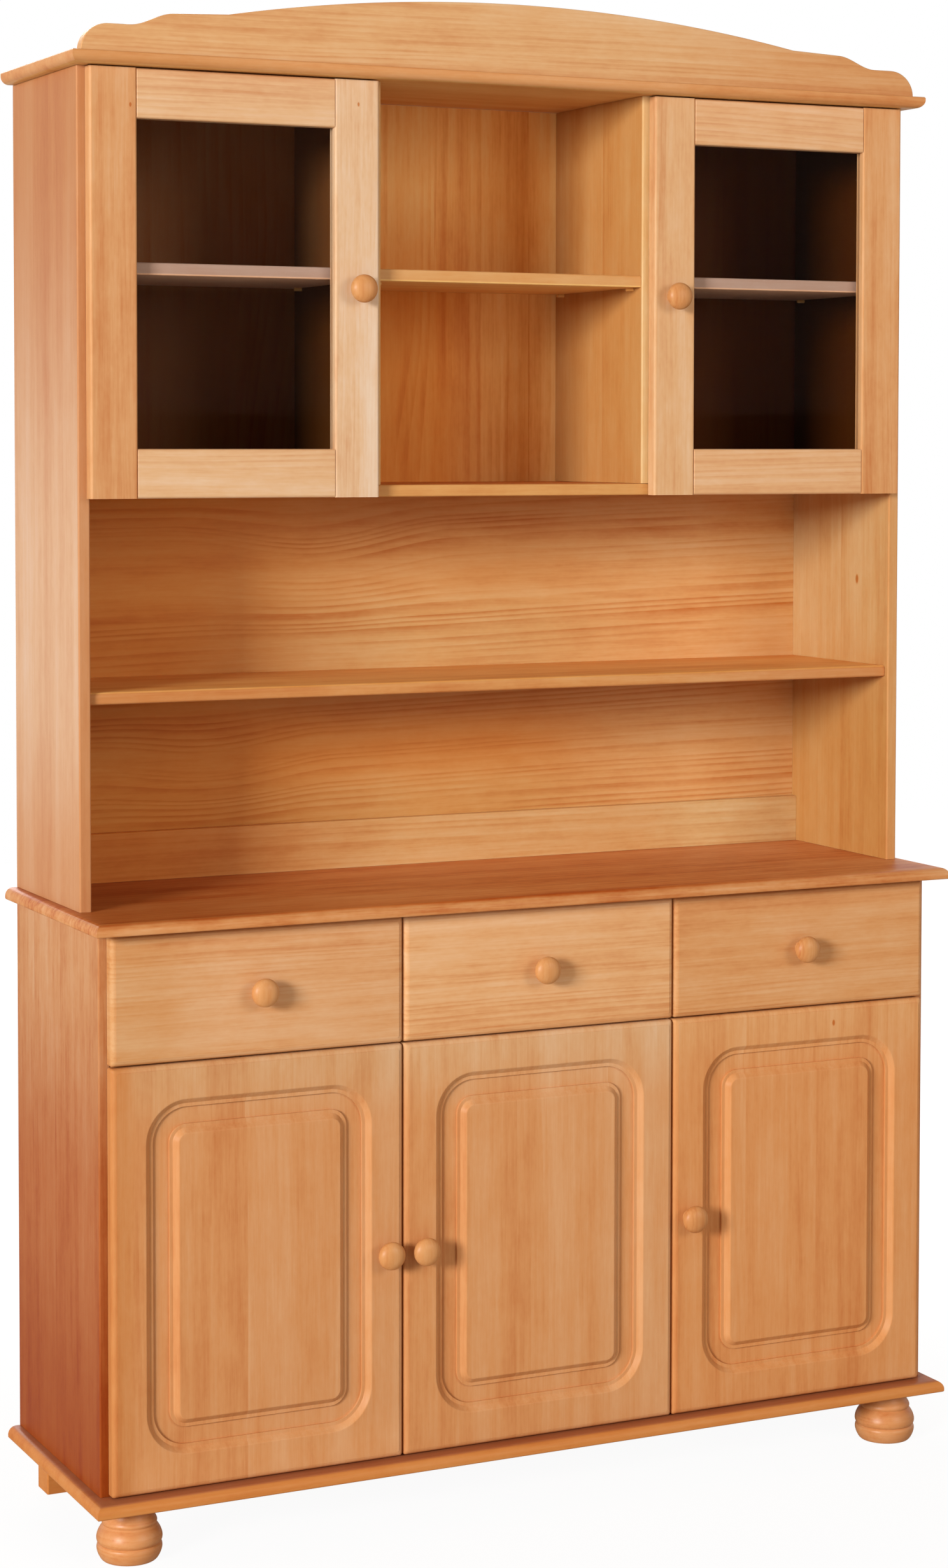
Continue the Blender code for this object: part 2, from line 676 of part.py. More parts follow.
def hang(name, hinge_sign, x_edge, x_panel, face, z_low, z_high, end_space):
    """Hinge axis of a door at its edge, and the two fixed hinge halves on the panel."""
    pivot = new_pivot(name + "_axis", (x_edge - hinge_sign * AXIS_INSET, face + AXIS_INSET, z_low))
    z_cups = (z_low + end_space, z_high - end_space)
    x_cup = x_edge - hinge_sign * CUP_INSET
    front = face + FRONT_THICK + FRONT_CLEAR
    for place_name, z_cup in zip(("bottom", "top"), z_cups):
        hinge_arm("hinge_%s_%s" % (name, place_name), x_panel, x_cup, -hinge_sign, front, z_cup)
    return pivot, x_cup, z_cups


def slope_points():
    """Moulded slope as (along, down): a round that leaves the face, then one flat run."""
    fall = SLOPE_DEPTH - SLOPE_ROUND
    angle = math.atan2(fall, SLOPE_WIDTH) + math.asin(SLOPE_ROUND / math.hypot(SLOPE_WIDTH, fall))
    points = []
    for k in range(SLOPE_STEPS + 1):
        turn = angle * k / SLOPE_STEPS
        points.append((SLOPE_ROUND * math.sin(turn), SLOPE_ROUND * (1 - math.cos(turn))))
    return points + [(SLOPE_WIDTH, SLOPE_DEPTH)]


def moulding_sections():
    """The routed moulding as (inset from the door's edge, depth), from outside inwards.

    A slope, a ledge and a small wall lead down to a sunk margin, and back up the same way.
    """
    outer = [(MOULDING_INSET + along, down) for along, down in slope_points()]
    inset = MOULDING_INSET + SLOPE_WIDTH + LEDGE_WIDTH
    outer += [(inset, SLOPE_DEPTH), (inset, SLOPE_DEPTH + WALL_HEIGHT)]
    across = 2 * inset + MARGIN_WIDTH
    return outer + [(across - along, down) for along, down in reversed(outer)]


def panelled_door(side, x_middle, hinge_sign, x_panel):
    """A door with rounded front edges and a moulding routed into its face."""
    z_low = z_plinth_top + DOOR_BOTTOM_SHOW
    z_high = z_front_split - FRONT_SPACE / 2
    half_x = front_width / 2
    half_z = (z_high - z_low) / 2
    name = "door_" + side
    x_edge = x_middle + hinge_sign * half_x
    pivot, x_cup, z_cups = hang(name, hinge_sign, x_edge, x_panel, y_face, z_low, z_high,
                                HINGE_END_BASE)
    loops = front_loops(half_x, half_z)
    moulding = moulding_sections()
    inner_edge = moulding[-1][0]
    for inset, down in moulding:
        radius = MOULDING_INNER_CORNER + inner_edge - inset
        loops.append(rounded_loop(half_x - inset, half_z - inset, radius, down, CORNER_STEPS))
    door = loft(name, loops, pine, (x_middle, y_face, (z_low + z_high) / 2), False, pivot)
    cup_holes(door, name, x_cup, y_face + FRONT_THICK, z_cups)
    x_knob = x_middle - hinge_sign * (half_x - DOOR_KNOB_INSET)
    knob("door_knob_" + side, x_knob, y_face, z_low + DOOR_KNOB_RISE, pivot)


panelled_door("left", -pitch, -1, -side_inner)
panelled_door("middle", 0, 1, partition_low)
panelled_door("right", pitch, 1, side_inner)


def frame_sections():
    """Section through a stile as (inset from the frame's edge, depth), once round."""
    section = [(0, FRONT_THICK)]
    for along, up in quarter(GLAZED_ROUND, GLAZED_ROUND, GLAZED_ROUND_STEPS, True):
        section.append((along, GLAZED_ROUND - up))
    ease = quarter(GLAZED_INNER_ROUND, GLAZED_INNER_ROUND, GLAZED_ROUND_STEPS, False)
    for along, down in ease:
        section.append((STILE_WIDTH - GLAZED_INNER_ROUND + along, down))
    groove = STILE_WIDTH - GLASS_BITE - GLASS_CLEAR
    groove_back = GLASS_RECESS + GLASS_THICK + GLASS_CLEAR
    section += [(STILE_WIDTH, GLASS_RECESS), (groove, GLASS_RECESS), (groove, groove_back),
                (STILE_WIDTH, groove_back), (STILE_WIDTH, FRONT_THICK)]
    return section


def glazed_door(side, sign):
    """A frame with a glass pane in its groove, joint lines between rails and stiles."""
    z_low = z_floor_under
    z_high = z_cornice_under - GLAZED_TOP_SHOW
    half_x = GLAZED_WIDTH / 2
    half_z = (z_high - z_low) / 2
    x_middle = sign * (front_reach - half_x)
    z_middle = (z_low + z_high) / 2
    name = "glazed_" + side
    pivot, x_cup, z_cups = hang(name, sign, sign * front_reach, sign * side_inner, y_hutch_face,
                                z_low, z_high, HINGE_END_GLAZED)
    loops = [square_loop(half_x - inset, half_z - inset, down)
             for inset, down in frame_sections()]
    frame = loft("glazed_frame_" + side, loops, pine, (x_middle, y_hutch_face, z_middle), True,
                 pivot)
    cup_holes(frame, name, x_cup, y_hutch_face + FRONT_THICK, z_cups)
    turn = Matrix.Rotation(math.radians(45), 4, "Z")
    across = JOINT_LINE / math.sqrt(2)
    bm = bmesh.new()
    for x_line in (x_middle - half_x + STILE_WIDTH, x_middle + half_x - STILE_WIDTH):
        for end in (-1, 1):
            z_line = z_middle + end * (half_z - (STILE_WIDTH - OVERRUN) / 2)
            matrix = (Matrix.Translation((x_line, y_hutch_face, z_line)) @ turn
                      @ Matrix.Diagonal((across, across, STILE_WIDTH + OVERRUN, 1.0)))
            bmesh.ops.create_cube(bm, size=1.0, matrix=matrix)
    boolean(frame, "DIFFERENCE", name + "_joint_lines", bm)
    pane_x = half_x - STILE_WIDTH + GLASS_BITE
    pane_z = half_z - STILE_WIDTH + GLASS_BITE
    y_pane = y_hutch_face + GLASS_RECESS + GLASS_CLEAR / 2
    board("glass_pane_" + side, (x_middle - pane_x, y_pane, z_middle - pane_z),
          (x_middle + pane_x, y_pane + GLASS_THICK, z_middle + pane_z), glass, (), pivot)
    x_knob = sign * (glazed_inner + GLAZED_KNOB_INSET)
    knob("glazed_knob_" + side, x_knob, y_hutch_face, z_low + GLAZED_KNOB_RISE, pivot)


glazed_door("left", -1)
glazed_door("right", 1)

print("Dresser", round(WIDTH, 4), "wide,", round(depth, 4), "deep")
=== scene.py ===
# %% [markdown]
# This lesson dresses a two-part pine dresser: a base with panelled doors and drawers, and a hutch
# with glazed cupboards. The construction model is loaded first and never moved. Each visible board
# is then made again with the fine edges and mouldings that a camera sees, in the same place, and
# every surface gets the finish of the real one.

# %% Load the construction model
import math

import bmesh
import bpy
from mathutils import Matrix, Vector


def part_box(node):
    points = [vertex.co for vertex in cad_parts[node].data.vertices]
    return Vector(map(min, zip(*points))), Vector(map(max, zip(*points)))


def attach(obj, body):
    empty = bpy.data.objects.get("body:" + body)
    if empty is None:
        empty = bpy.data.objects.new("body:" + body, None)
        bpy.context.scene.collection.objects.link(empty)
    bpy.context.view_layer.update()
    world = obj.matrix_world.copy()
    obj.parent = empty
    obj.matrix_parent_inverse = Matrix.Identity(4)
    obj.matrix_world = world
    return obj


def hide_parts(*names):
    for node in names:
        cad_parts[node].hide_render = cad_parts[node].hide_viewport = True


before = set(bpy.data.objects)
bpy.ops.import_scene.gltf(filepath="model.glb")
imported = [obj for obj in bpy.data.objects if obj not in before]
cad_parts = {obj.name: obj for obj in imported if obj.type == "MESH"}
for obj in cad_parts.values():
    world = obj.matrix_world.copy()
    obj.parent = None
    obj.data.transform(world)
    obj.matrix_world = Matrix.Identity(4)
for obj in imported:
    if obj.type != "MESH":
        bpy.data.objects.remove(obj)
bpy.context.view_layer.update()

MM = 0.001
parts = bpy.data.collections.new("dresser_finish")
bpy.context.scene.collection.children.link(parts)

# %% [markdown]
# The camera comes before the pieces. It stands in front of the left end, a little above the
# worktop, and looks slightly down. A long lens keeps the uprights nearly parallel. The shift only
# frames the picture.

# %% Camera
PHOTO_WIDTH = 1489
PHOTO_HEIGHT = 2464
SENSOR = 36.0
FOCAL_PIXELS = 4984.4
CENTRE_PIXEL = (754.2, 924.2)
CAMERA_AT = (-1.8069, -3.7119, 1.3522)
CAMERA_TURN = 25.783
CAMERA_DOWN = 2.663
CAMERA_ROLL = 0.079


def make_camera():
    """A camera that frames the dresser as the photograph does."""
    data = bpy.data.cameras.new("front_left_view")
    data.sensor_width = SENSOR
    data.sensor_fit = "AUTO"
    data.lens = FOCAL_PIXELS * SENSOR / PHOTO_HEIGHT
    data.shift_x = (PHOTO_WIDTH / 2 - CENTRE_PIXEL[0]) / PHOTO_HEIGHT
    data.shift_y = (CENTRE_PIXEL[1] - PHOTO_HEIGHT / 2) / PHOTO_HEIGHT
    camera = bpy.data.objects.new("front_left_view", data)
    bpy.context.scene.collection.objects.link(camera)
    turn = Matrix.Rotation(math.radians(-CAMERA_TURN), 4, "Z")
    tilt = Matrix.Rotation(math.radians(90 - CAMERA_DOWN), 4, "X")
    roll = Matrix.Rotation(math.radians(CAMERA_ROLL), 4, "Z")
    camera.matrix_world = Matrix.Translation(CAMERA_AT) @ turn @ tilt @ roll
    bpy.context.scene.camera = camera
    return camera


camera = make_camera()
print("lens", round(camera.data.lens, 2), "mm")

# %% [markdown]
# Colours are written as sRGB hex values, as a paint chart gives them, and one function turns them
# to the linear values that the shaders need. Another small function adds a node with its settings
# and links, so that each material reads as a list of what it does.

# %% Colour and node helpers
MATHS = "ShaderNodeMath"
STEP = "ShaderNodeMapRange"
MIX = "ShaderNodeMix"
# The mix node holds its sockets once for each type of data, and these are the ones for colours.
SHARE, FIRST, SECOND, MIXED = 0, 6, 7, 2


def linear(hex_colour):
    """The linear red, green, blue and opacity of an sRGB hex colour."""
    values = [int(hex_colour[k:k + 2], 16) / 255 for k in (1, 3, 5)]
    return tuple(v / 12.92 if v <= 0.04045 else ((v + 0.055) / 1.055) ** 2.4 for v in values) + (1.0,)


def add_node(tree, kind, inputs=(), **settings):
    """Add a node. Its inputs, in order or by name, are values, sockets, or nodes for their first output."""
    node = tree.nodes.new(kind)
    for key, value in settings.items():
        setattr(node, key, value)
    for key, value in inputs.items() if isinstance(inputs, dict) else enumerate(inputs):
        if isinstance(value, bpy.types.Node):
            value = value.outputs[0]
        if isinstance(value, bpy.types.NodeSocket):
            tree.links.new(value, node.inputs[key])
        else:
            node.inputs[key].default_value = value
    return node


def new_material(name):
    """A new material, its node tree and its main shader."""
    material = bpy.data.materials.new(name)
    material.use_nodes = True
    return material, material.node_tree, material.node_tree.nodes["Principled BSDF"]


print("honey pine", [round(v, 3) for v in linear("#D79C68")])

# %% [markdown]
# The picture was taken in a pale studio. The knobs throw their shadows to the right and slightly
# down, and the left side of the open bay is in shade, so the main lamp stands well to the left of
# the front, only ten degrees above the dresser's middle. A weaker lamp on the right fills those
# shadows, and its soft reflection makes the upper doors look paler. Little light comes from above.
# A third lamp lights only the back, which this picture doesn't show.
# A lamp's power is worked out from the share of plain daylight that it should give the fronts,
# because at a share of 1 a colour renders as it is written.

# %% Lamps and world
LOOK_AT = Vector((0.0, -0.10, 1.15))
# Each lamp: azimuth from the front, negative to the left, and elevation in degrees, distance and
# size in metres, share of daylight and colour.
LAMPS = {"left_softbox": (-60, 10, 9.0, (2.4, 1.8), 0.50, "#FFFFFF"),
         "right_softbox": (25, 14, 6.0, (2.6, 2.4), 0.23, "#FFF8F2"),
         "rear_softbox": (175, 25, 6.0, (2.6, 2.4), 0.45, "#FFF8F2")}
WORLD_SHARE = 0.27


def lamp(name, azimuth, elevation, distance, size, share, colour):
    """An area light that shines towards the dresser's middle."""
    turn = math.radians(azimuth)
    rise = math.radians(elevation)
    away = Vector((math.sin(turn) * math.cos(rise), -math.cos(turn) * math.cos(rise), math.sin(rise)))
    data = bpy.data.lights.new(name, "AREA")
    data.shape = "RECTANGLE"
    data.size = size[0]
    data.size_y = size[1]
    data.energy = share * (math.pi * distance) ** 2 / abs(away.y)
    data.color = linear(colour)[:3]
    light = bpy.data.objects.new(name, data)
    light.location = LOOK_AT + away * distance
    light.rotation_euler = away.to_track_quat("Z", "Y").to_euler()
    bpy.context.scene.collection.objects.link(light)
    print(name, "gives", share, "at", round(data.energy, 1), "W")


def make_world():
    """A warm fill light, which the camera, metal and glass see as plain white."""
    world = bpy.data.worlds.new("pale_studio")
    bpy.context.scene.world = world
    world.use_nodes = True
    tree = world.node_tree
    tree.nodes.clear()
    path = add_node(tree, "ShaderNodeLightPath").outputs
    seen = add_node(tree, MATHS, (path["Is Camera Ray"], path["Is Glossy Ray"]), operation="MAXIMUM")
    seen = add_node(tree, MATHS, (seen, path["Is Transmission Ray"]), operation="MAXIMUM")
    fill = add_node(tree, "ShaderNodeBackground", {"Color": linear("#FFE6CC"), "Strength": WORLD_SHARE})
    white = add_node(tree, "ShaderNodeBackground", {"Color": linear("#FFFFFF"), "Strength": 1.0})
    mix = add_node(tree, "ShaderNodeMixShader", (seen, fill, white))
    add_node(tree, "ShaderNodeOutputWorld", {"Surface": mix})


for name, settings in LAMPS.items():
    lamp(name, *settings)
make_world()
bpy.context.scene.view_settings.view_transform = "Standard"

# %% [markdown]
# The floor is a plain pale sheet. The camera sees it as almost white, and it keeps a trace of the
# dresser's shadow: near the feet its shader mixes a little diffuse light with plain white for camera
# rays only. Further out it is all white, so that no horizon shows.

# %% Floor
FLOOR_HALF = 6.0
FLOOR_DROP = 0.5 * MM
FLOOR_WHITE = 1.05
SHADOW_REACH = (0.5, 1.6)
SHADOW_SHARE = 0.10


def make_floor():
    """A flat sheet just under the feet."""
    material, tree, shader = new_material("pale_studio_floor")
    shader.inputs["Base Color"].default_value = linear("#C9C6C2")
    shader.inputs["Roughness"].default_value = 0.9
    shader.inputs["Specular IOR Level"].default_value = 0.0
    coordinates = add_node(tree, "ShaderNodeTexCoord")
    away = add_node(tree, "ShaderNodeVectorMath", (coordinates.outputs["Object"],), operation="LENGTH")
    plain = add_node(tree, STEP, (away.outputs["Value"], *SHADOW_REACH, 1 - SHADOW_SHARE, 1.0),
                     interpolation_type="SMOOTHSTEP")
    path = add_node(tree, "ShaderNodeLightPath")
    seen = add_node(tree, MATHS, (path.outputs["Is Camera Ray"], plain), operation="MULTIPLY")
    white = add_node(tree, "ShaderNodeEmission", {"Color": linear("#FFFFFF"), "Strength": FLOOR_WHITE})
    mix = add_node(tree, "ShaderNodeMixShader", (seen, shader, white))
    tree.links.new(mix.outputs[0], tree.nodes["Material Output"].inputs["Surface"])
    bm = bmesh.new()
    bmesh.ops.create_grid(bm, x_segments=1, y_segments=1, size=FLOOR_HALF)
    mesh = bpy.data.meshes.new("studio_floor")
    bm.to_mesh(mesh)
    bm.free()
    mesh.materials.append(material)
    floor = bpy.data.objects.new("studio_floor", mesh)
    floor.location.z = -FLOOR_DROP
    bpy.context.scene.collection.objects.link(floor)


make_floor()

# %% [markdown]
# Pine is drawn as a tree made it, and every pattern starts from where a point lies in its board:
# along the grain, across it and through it. A panel is glued up from staves, and each comes from
# another part of the log, so its tone and figure start anew at the glue line. One tone from 0 to 1
# collects all the patterns, and the next cells add them one by one.

# %% A board and its staves
BODY_TONE = 0.5
FIRST_STAVE_JUMP = 0.7
NEXT_STAVE_JUMP = 0.3


class Wood:
    """The places and the tone that the patterns of one board share."""

    def __init__(self, tree, along, across, seed):
        self.tree = tree
        self.seed = seed
        coordinates = add_node(tree, "ShaderNodeTexCoord")
        split = add_node(tree, "ShaderNodeSeparateXYZ", (coordinates.outputs["Object"],))
        self.place = {axis: split.outputs[axis.upper()] for axis in "xyz"}
        through = ({"x", "y", "z"} - {along, across}).pop()
        self.length = self.place[along]
        self.width = self.place[across]
        self.thick = self.place[through]
        self.from_log = self.width
        self.tone = BODY_TONE


def glue_staves(wood, staves):
    """Move each stave to its own part of the log, and step the tone at its seam."""
    for number, (seam, step) in enumerate(staves):
        past = add_node(wood.tree, MATHS, (wood.width, seam), operation="GREATER_THAN")
        wood.tone = add_node(wood.tree, MATHS, (past, step, wood.tone), operation="MULTIPLY_ADD")
        jump = FIRST_STAVE_JUMP + NEXT_STAVE_JUMP * number
        wood.from_log = add_node(wood.tree, MATHS, (past, jump, wood.from_log), operation="MULTIPLY_ADD")


print("a second stave lies", FIRST_STAVE_JUMP, "m further on in the log")

# %% [markdown]
# Along the grain run soft bands, streaks and fibres. These are one noise pattern at falling widths,
# each stretched along the board. The widths are taken from real boards: bands about 45 mm wide,
# streaks of 12 and 4 mm, mottling of 30 by 66 mm, flecks of 4 by 11 mm, and fibres of 1.5 mm, which
# is three times the real width, because finer ones don't show.

# %% Figure of the wood
# A pattern is its width across the grain, its length along it, its detail and its place in the noise.
FIBRE = (1.5 * MM, 45 * MM, 2.0, 3.1)
FIBRE_STRENGTH = 0.22
FIGURE = (((45 * MM, 900 * MM, 1.0, 11.3), 0.60), ((12 * MM, 340 * MM, 2.0, 20.2), 0.40),
          ((4 * MM, 100 * MM, 2.0, 29.1), 0.24), ((30 * MM, 66 * MM, 3.0, 38.0), 0.34),
          ((4 * MM, 11 * MM, 1.0, 46.9), 0.12))
SEED_ACROSS = 7.3
SEED_ALONG = 3.7
NOISE_ROUGHNESS = 0.6
NOISE_MIDDLE = 0.5


def grain(wood, across_size, along_size, detail, shift):
    """Noise centred on 0 and stretched along the board."""
    tree = wood.tree
    across = add_node(tree, MATHS, (wood.from_log, 1 / across_size, wood.seed * SEED_ACROSS + shift),
                      operation="MULTIPLY_ADD")
    along = add_node(tree, MATHS, (wood.length, 1 / along_size, wood.seed * SEED_ALONG),
                     operation="MULTIPLY_ADD")
    through = add_node(tree, MATHS, (wood.thick, 1 / across_size), operation="MULTIPLY")
    spot = add_node(tree, "ShaderNodeCombineXYZ", (across, along, through))
    cloud = add_node(tree, "ShaderNodeTexNoise", {"Vector": spot, "Scale": 1.0, "Detail": detail,
                                                  "Roughness": NOISE_ROUGHNESS})
    return add_node(tree, MATHS, (cloud, NOISE_MIDDLE), operation="SUBTRACT")


def draw_figure(wood, strength):
    """Add every width of the figure to the tone, and return the fibres for the bump."""
    fibre = grain(wood, *FIBRE)
    wood.tone = add_node(wood.tree, MATHS, (fibre, FIBRE_STRENGTH * strength, wood.tone),
                         operation="MULTIPLY_ADD")
    for pattern, share in FIGURE:
        wood.tone = add_node(wood.tree, MATHS, (grain(wood, *pattern), share * strength, wood.tone),
                             operation="MULTIPLY_ADD")
    return fibre


print("widths of the figure, mm:", [round(pattern[0] / MM, 1) for pattern, share in FIGURE])

# %% [markdown]
# Growth rings are drawn apart: each darkens slowly and ends sharply, as summer wood does. They are
# the whole numbers of one slowly changing value, so they climb where the board was sawn at a slant,
# wander a little, and bulge where the tree grew round something. A knot is a dark speck, longer
# along the grain, and it pushes the rings aside.

# %% Knots and growth rings
# Distances along the grain count less, which makes a knot longer that way.
ALONG_WEIGHT = 0.30
# A knot fades out between two shares of its radius, and pushes the rings as far as six radii off.
KNOT_EDGE_SHARES = (0.4, 1.6)
KNOT_TONE = -0.9
KNOT_REACH = 6
# Patterns like those of the figure, each with its share of the board's drift.
RING_WANDER = (((300 * MM, 1300 * MM, 1.0, 61.7), 3.0), ((70 * MM, 420 * MM, 1.0, 73.9), 0.5))
# Another pattern, and the step that turns its values, from lowest to highest, to boldness.
RING_BOLDNESS = (60 * MM, 500 * MM, 2.0, 87.3)
BOLDNESS_STEP = (-0.14, 0.14, 0.15, 1.0)
# A noise along the rings shifts their count, so that some are wide and some narrow.
UNEVEN_SCALE = 0.3
UNEVEN_RINGS = 3.0
# The shares of a ring's width at which summer wood starts and ends.
SUMMER_SHARES = (0.25, 0.90)
# What the rings take from the tone on average, which is given back.
RING_MEAN = 0.25


def near(wood, at_across, at_along):
    """How far a point lies to one side of a place, and how far off, counted less along the grain."""
    tree = wood.tree
    aside = add_node(tree, MATHS, (wood.width, at_across), operation="SUBTRACT")
    ahead = add_node(tree, MATHS, (wood.length, at_along), operation="SUBTRACT")
    squared = add_node(tree, MATHS, (ahead, ahead), operation="MULTIPLY")
    squared = add_node(tree, MATHS, (squared, ALONG_WEIGHT), operation="MULTIPLY")
    squared = add_node(tree, MATHS, (aside, aside, squared), operation="MULTIPLY_ADD")
    return aside, add_node(tree, MATHS, (squared,), operation="SQRT")


def darken_knots(wood, knots):
    """Add a dark speck to the tone at each knot."""
    for at_across, at_along, radius in knots:
        away = near(wood, at_across, at_along)[1]
        start, end = [radius * share for share in KNOT_EDGE_SHARES]
        speck = add_node(wood.tree, STEP, (away, start, end, KNOT_TONE, 0.0),
                         interpolation_type="SMOOTHSTEP")
        wood.tone = add_node(wood.tree, MATHS, (wood.tone, speck), operation="ADD")


def ring_place(wood, drift, rise, bends, knots):
    """Where a point lies among the rings, in metres across them."""
    tree = wood.tree
    spot = add_node(tree, MATHS, (wood.length, -rise, wood.from_log), operation="MULTIPLY_ADD")
    for pattern, share in RING_WANDER:
        spot = add_node(tree, MATHS, (grain(wood, *pattern), share * drift, spot), operation="MULTIPLY_ADD")
    for at_across, at_along, radius, push in bends:
        away = near(wood, at_across, at_along)[1]
        bulge = add_node(tree, STEP, (away, 0.0, radius, push, 0.0), interpolation_type="SMOOTHSTEP")
        spot = add_node(tree, MATHS, (spot, bulge), operation="ADD")
    for at_across, at_along, radius in knots:
        aside, away = near(wood, at_across, at_along)
        side = add_node(tree, MATHS, (aside,), operation="SIGN")
        push = add_node(tree, STEP, (away, 0.0, radius * KNOT_REACH, -radius, 0.0),
                        interpolation_type="SMOOTHSTEP")
        push = add_node(tree, MATHS, (side, push), operation="MULTIPLY")
        spot = add_node(tree, MATHS, (push, spot), operation="ADD")
    return spot


def draw_rings(wood, spot, lines, line_gap):
    """Darken the tone at each ring, more in some parts of the board than in others."""
    tree = wood.tree
    where = add_node(tree, MATHS, (spot, UNEVEN_SCALE / line_gap), operation="MULTIPLY")
    uneven = add_node(tree, "ShaderNodeTexNoise", {"W": where, "Scale": 1.0, "Detail": 1.0},
                      noise_dimensions="1D")
    count = add_node(tree, MATHS, (spot, 1 / line_gap), operation="MULTIPLY")
    count = add_node(tree, MATHS, (uneven, UNEVEN_RINGS, count), operation="MULTIPLY_ADD")
    part = add_node(tree, MATHS, (count,), operation="FRACT")
    spring_end, summer_end = SUMMER_SHARES
    summer = add_node(tree, STEP, (part, spring_end, summer_end, 0.0, 1.0), interpolation_type="SMOOTHSTEP")
    winter = add_node(tree, STEP, (part, summer_end, 1.0, 1.0, 0.0), interpolation_type="SMOOTHSTEP")
    late = add_node(tree, MATHS, (summer, winter), operation="MULTIPLY")
    bold = add_node(tree, STEP, (grain(wood, *RING_BOLDNESS), *BOLDNESS_STEP),
                    interpolation_type="SMOOTHSTEP")
    late = add_node(tree, MATHS, (late, bold), operation="MULTIPLY")
    wood.tone = add_node(tree, MATHS, (late, -lines, wood.tone), operation="MULTIPLY_ADD")
    wood.tone = add_node(tree, MATHS, (wood.tone, lines * RING_MEAN), operation="ADD")


print("a ring is darkest at", SUMMER_SHARES[1], "of its width")

# %% [markdown]
# The tone picks a colour between late wood, which is darker and redder, and pale early wood. Both
# are worked out from the body colour. Inside the two closed cupboards the boards get painted
# shade, a dark colour that stands in for the shade in there, with painted light in the upper half
# of the left one. A mask finds their inner faces: it ends in the middle of each wall around them,
# and a little behind the front edges, which stay plain.

# %% Tones and painted cupboard shade
LATE_WOOD = (0.75, 0.44, 0.23)
EARLY_WOOD = (1.12, 1.42, 1.95)
# Painted shade for the inside of the closed cupboards, with painted light in the upper half of the left
# one.
CUPBOARD_SHADE_RIGHT = "#6A340B"
CUPBOARD_SHADE_LEFT = ("#754016", "#A26433")
CUPBOARD_SHADE_LEFT_STEP = (1540 * MM, 1570 * MM)
CUPBOARD_SHADE_SETBACK = 1.5 * MM


def wood_tones(wood, body, strength=1.0):
    """Late wood, body and early wood, worked out from the body's colour."""
    colour = [c * strength for c in linear(body)[:3]] + [1.0]
    ramp = add_node(wood.tree, "ShaderNodeValToRGB", (wood.tone,))
    stops = ramp.color_ramp.elements
    stops[0].position = 0.0
    stops[0].color = [c * k for c, k in zip(colour, LATE_WOOD)] + [1.0]
    stops[1].position = 1.0
    stops[1].color = [min(c * k, 1.0) for c, k in zip(colour, EARLY_WOOD)] + [1.0]
    stops.new(BODY_TONE).color = colour
    return ramp.outputs["Color"]


def middle_of(node):
    """The middle of a construction node's box."""
    low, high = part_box(node)
    return (low + high) / 2


def inside_cupboards(wood):
    """1 on the faces inside the two closed cupboards, 0 elsewhere."""
    tree = wood.tree
    across = add_node(tree, MATHS, (wood.place["x"],), operation="ABSOLUTE")
    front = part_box("hutch_side_right")[0].y + CUPBOARD_SHADE_SETBACK
    mask = add_node(tree, MATHS, (across, middle_of("hutch_partition_right").x), operation="GREATER_THAN")
    for place, test, wall in ((across, "LESS_THAN", middle_of("hutch_side_right").x),
                              (wood.place["z"], "GREATER_THAN", middle_of("cabinet_floor").z),
                              (wood.place["z"], "LESS_THAN", middle_of("cornice_board").z),
                              (wood.place["y"], "GREATER_THAN", front),
                              (wood.place["y"], "LESS_THAN", middle_of("hutch_back_upper").y)):
        inside = add_node(tree, MATHS, (place, wall), operation=test)
        mask = add_node(tree, MATHS, (mask, inside), operation="MULTIPLY")
    return mask


def paint_cupboard_shade(wood, colour, strength):
    """The given colour, with painted shade on the inner faces of the closed cupboards."""
    tree = wood.tree
    low, high = [wood_tones(wood, painted_shade, strength) for painted_shade in CUPBOARD_SHADE_LEFT]
    upper = add_node(tree, STEP, (wood.place["z"], *CUPBOARD_SHADE_LEFT_STEP, 0.0, 1.0),
                     interpolation_type="SMOOTHSTEP")
    on_left = add_node(tree, MIX, {SHARE: upper, FIRST: low, SECOND: high}, data_type="RGBA")
    left = add_node(tree, MATHS, (wood.place["x"], 0.0), operation="LESS_THAN")
    on_right = wood_tones(wood, CUPBOARD_SHADE_RIGHT, strength)
    painted_shade = add_node(tree, MIX, {SHARE: left, FIRST: on_right, SECOND: on_left.outputs[MIXED]},
                     data_type="RGBA")
    mixed = add_node(tree, MIX, {SHARE: inside_cupboards(wood), FIRST: colour,
                                 SECOND: painted_shade.outputs[MIXED]}, data_type="RGBA")
    return mixed.outputs[MIXED]


print("stain on the right, as linear values:", [round(v, 3) for v in linear(CUPBOARD_SHADE_RIGHT)[:3]])

# %% [markdown]
# The finish puts the patterns together. A fade leads from one body colour to another along one
# axis, and most fades are painted light and shade: darker where a board lies in shade, lighter
# where light falls on it, and a painted tone of its own on a rounded edge or a face. The wood is
# sanded and lacquered to a satin sheen: the fibres only just show in relief, and the reflection is
# soft and weak.

# %% Pine, sanded and lacquered
FIBRE_RELIEF = 0.10
FIBRE_HEIGHT = 0.4 * MM


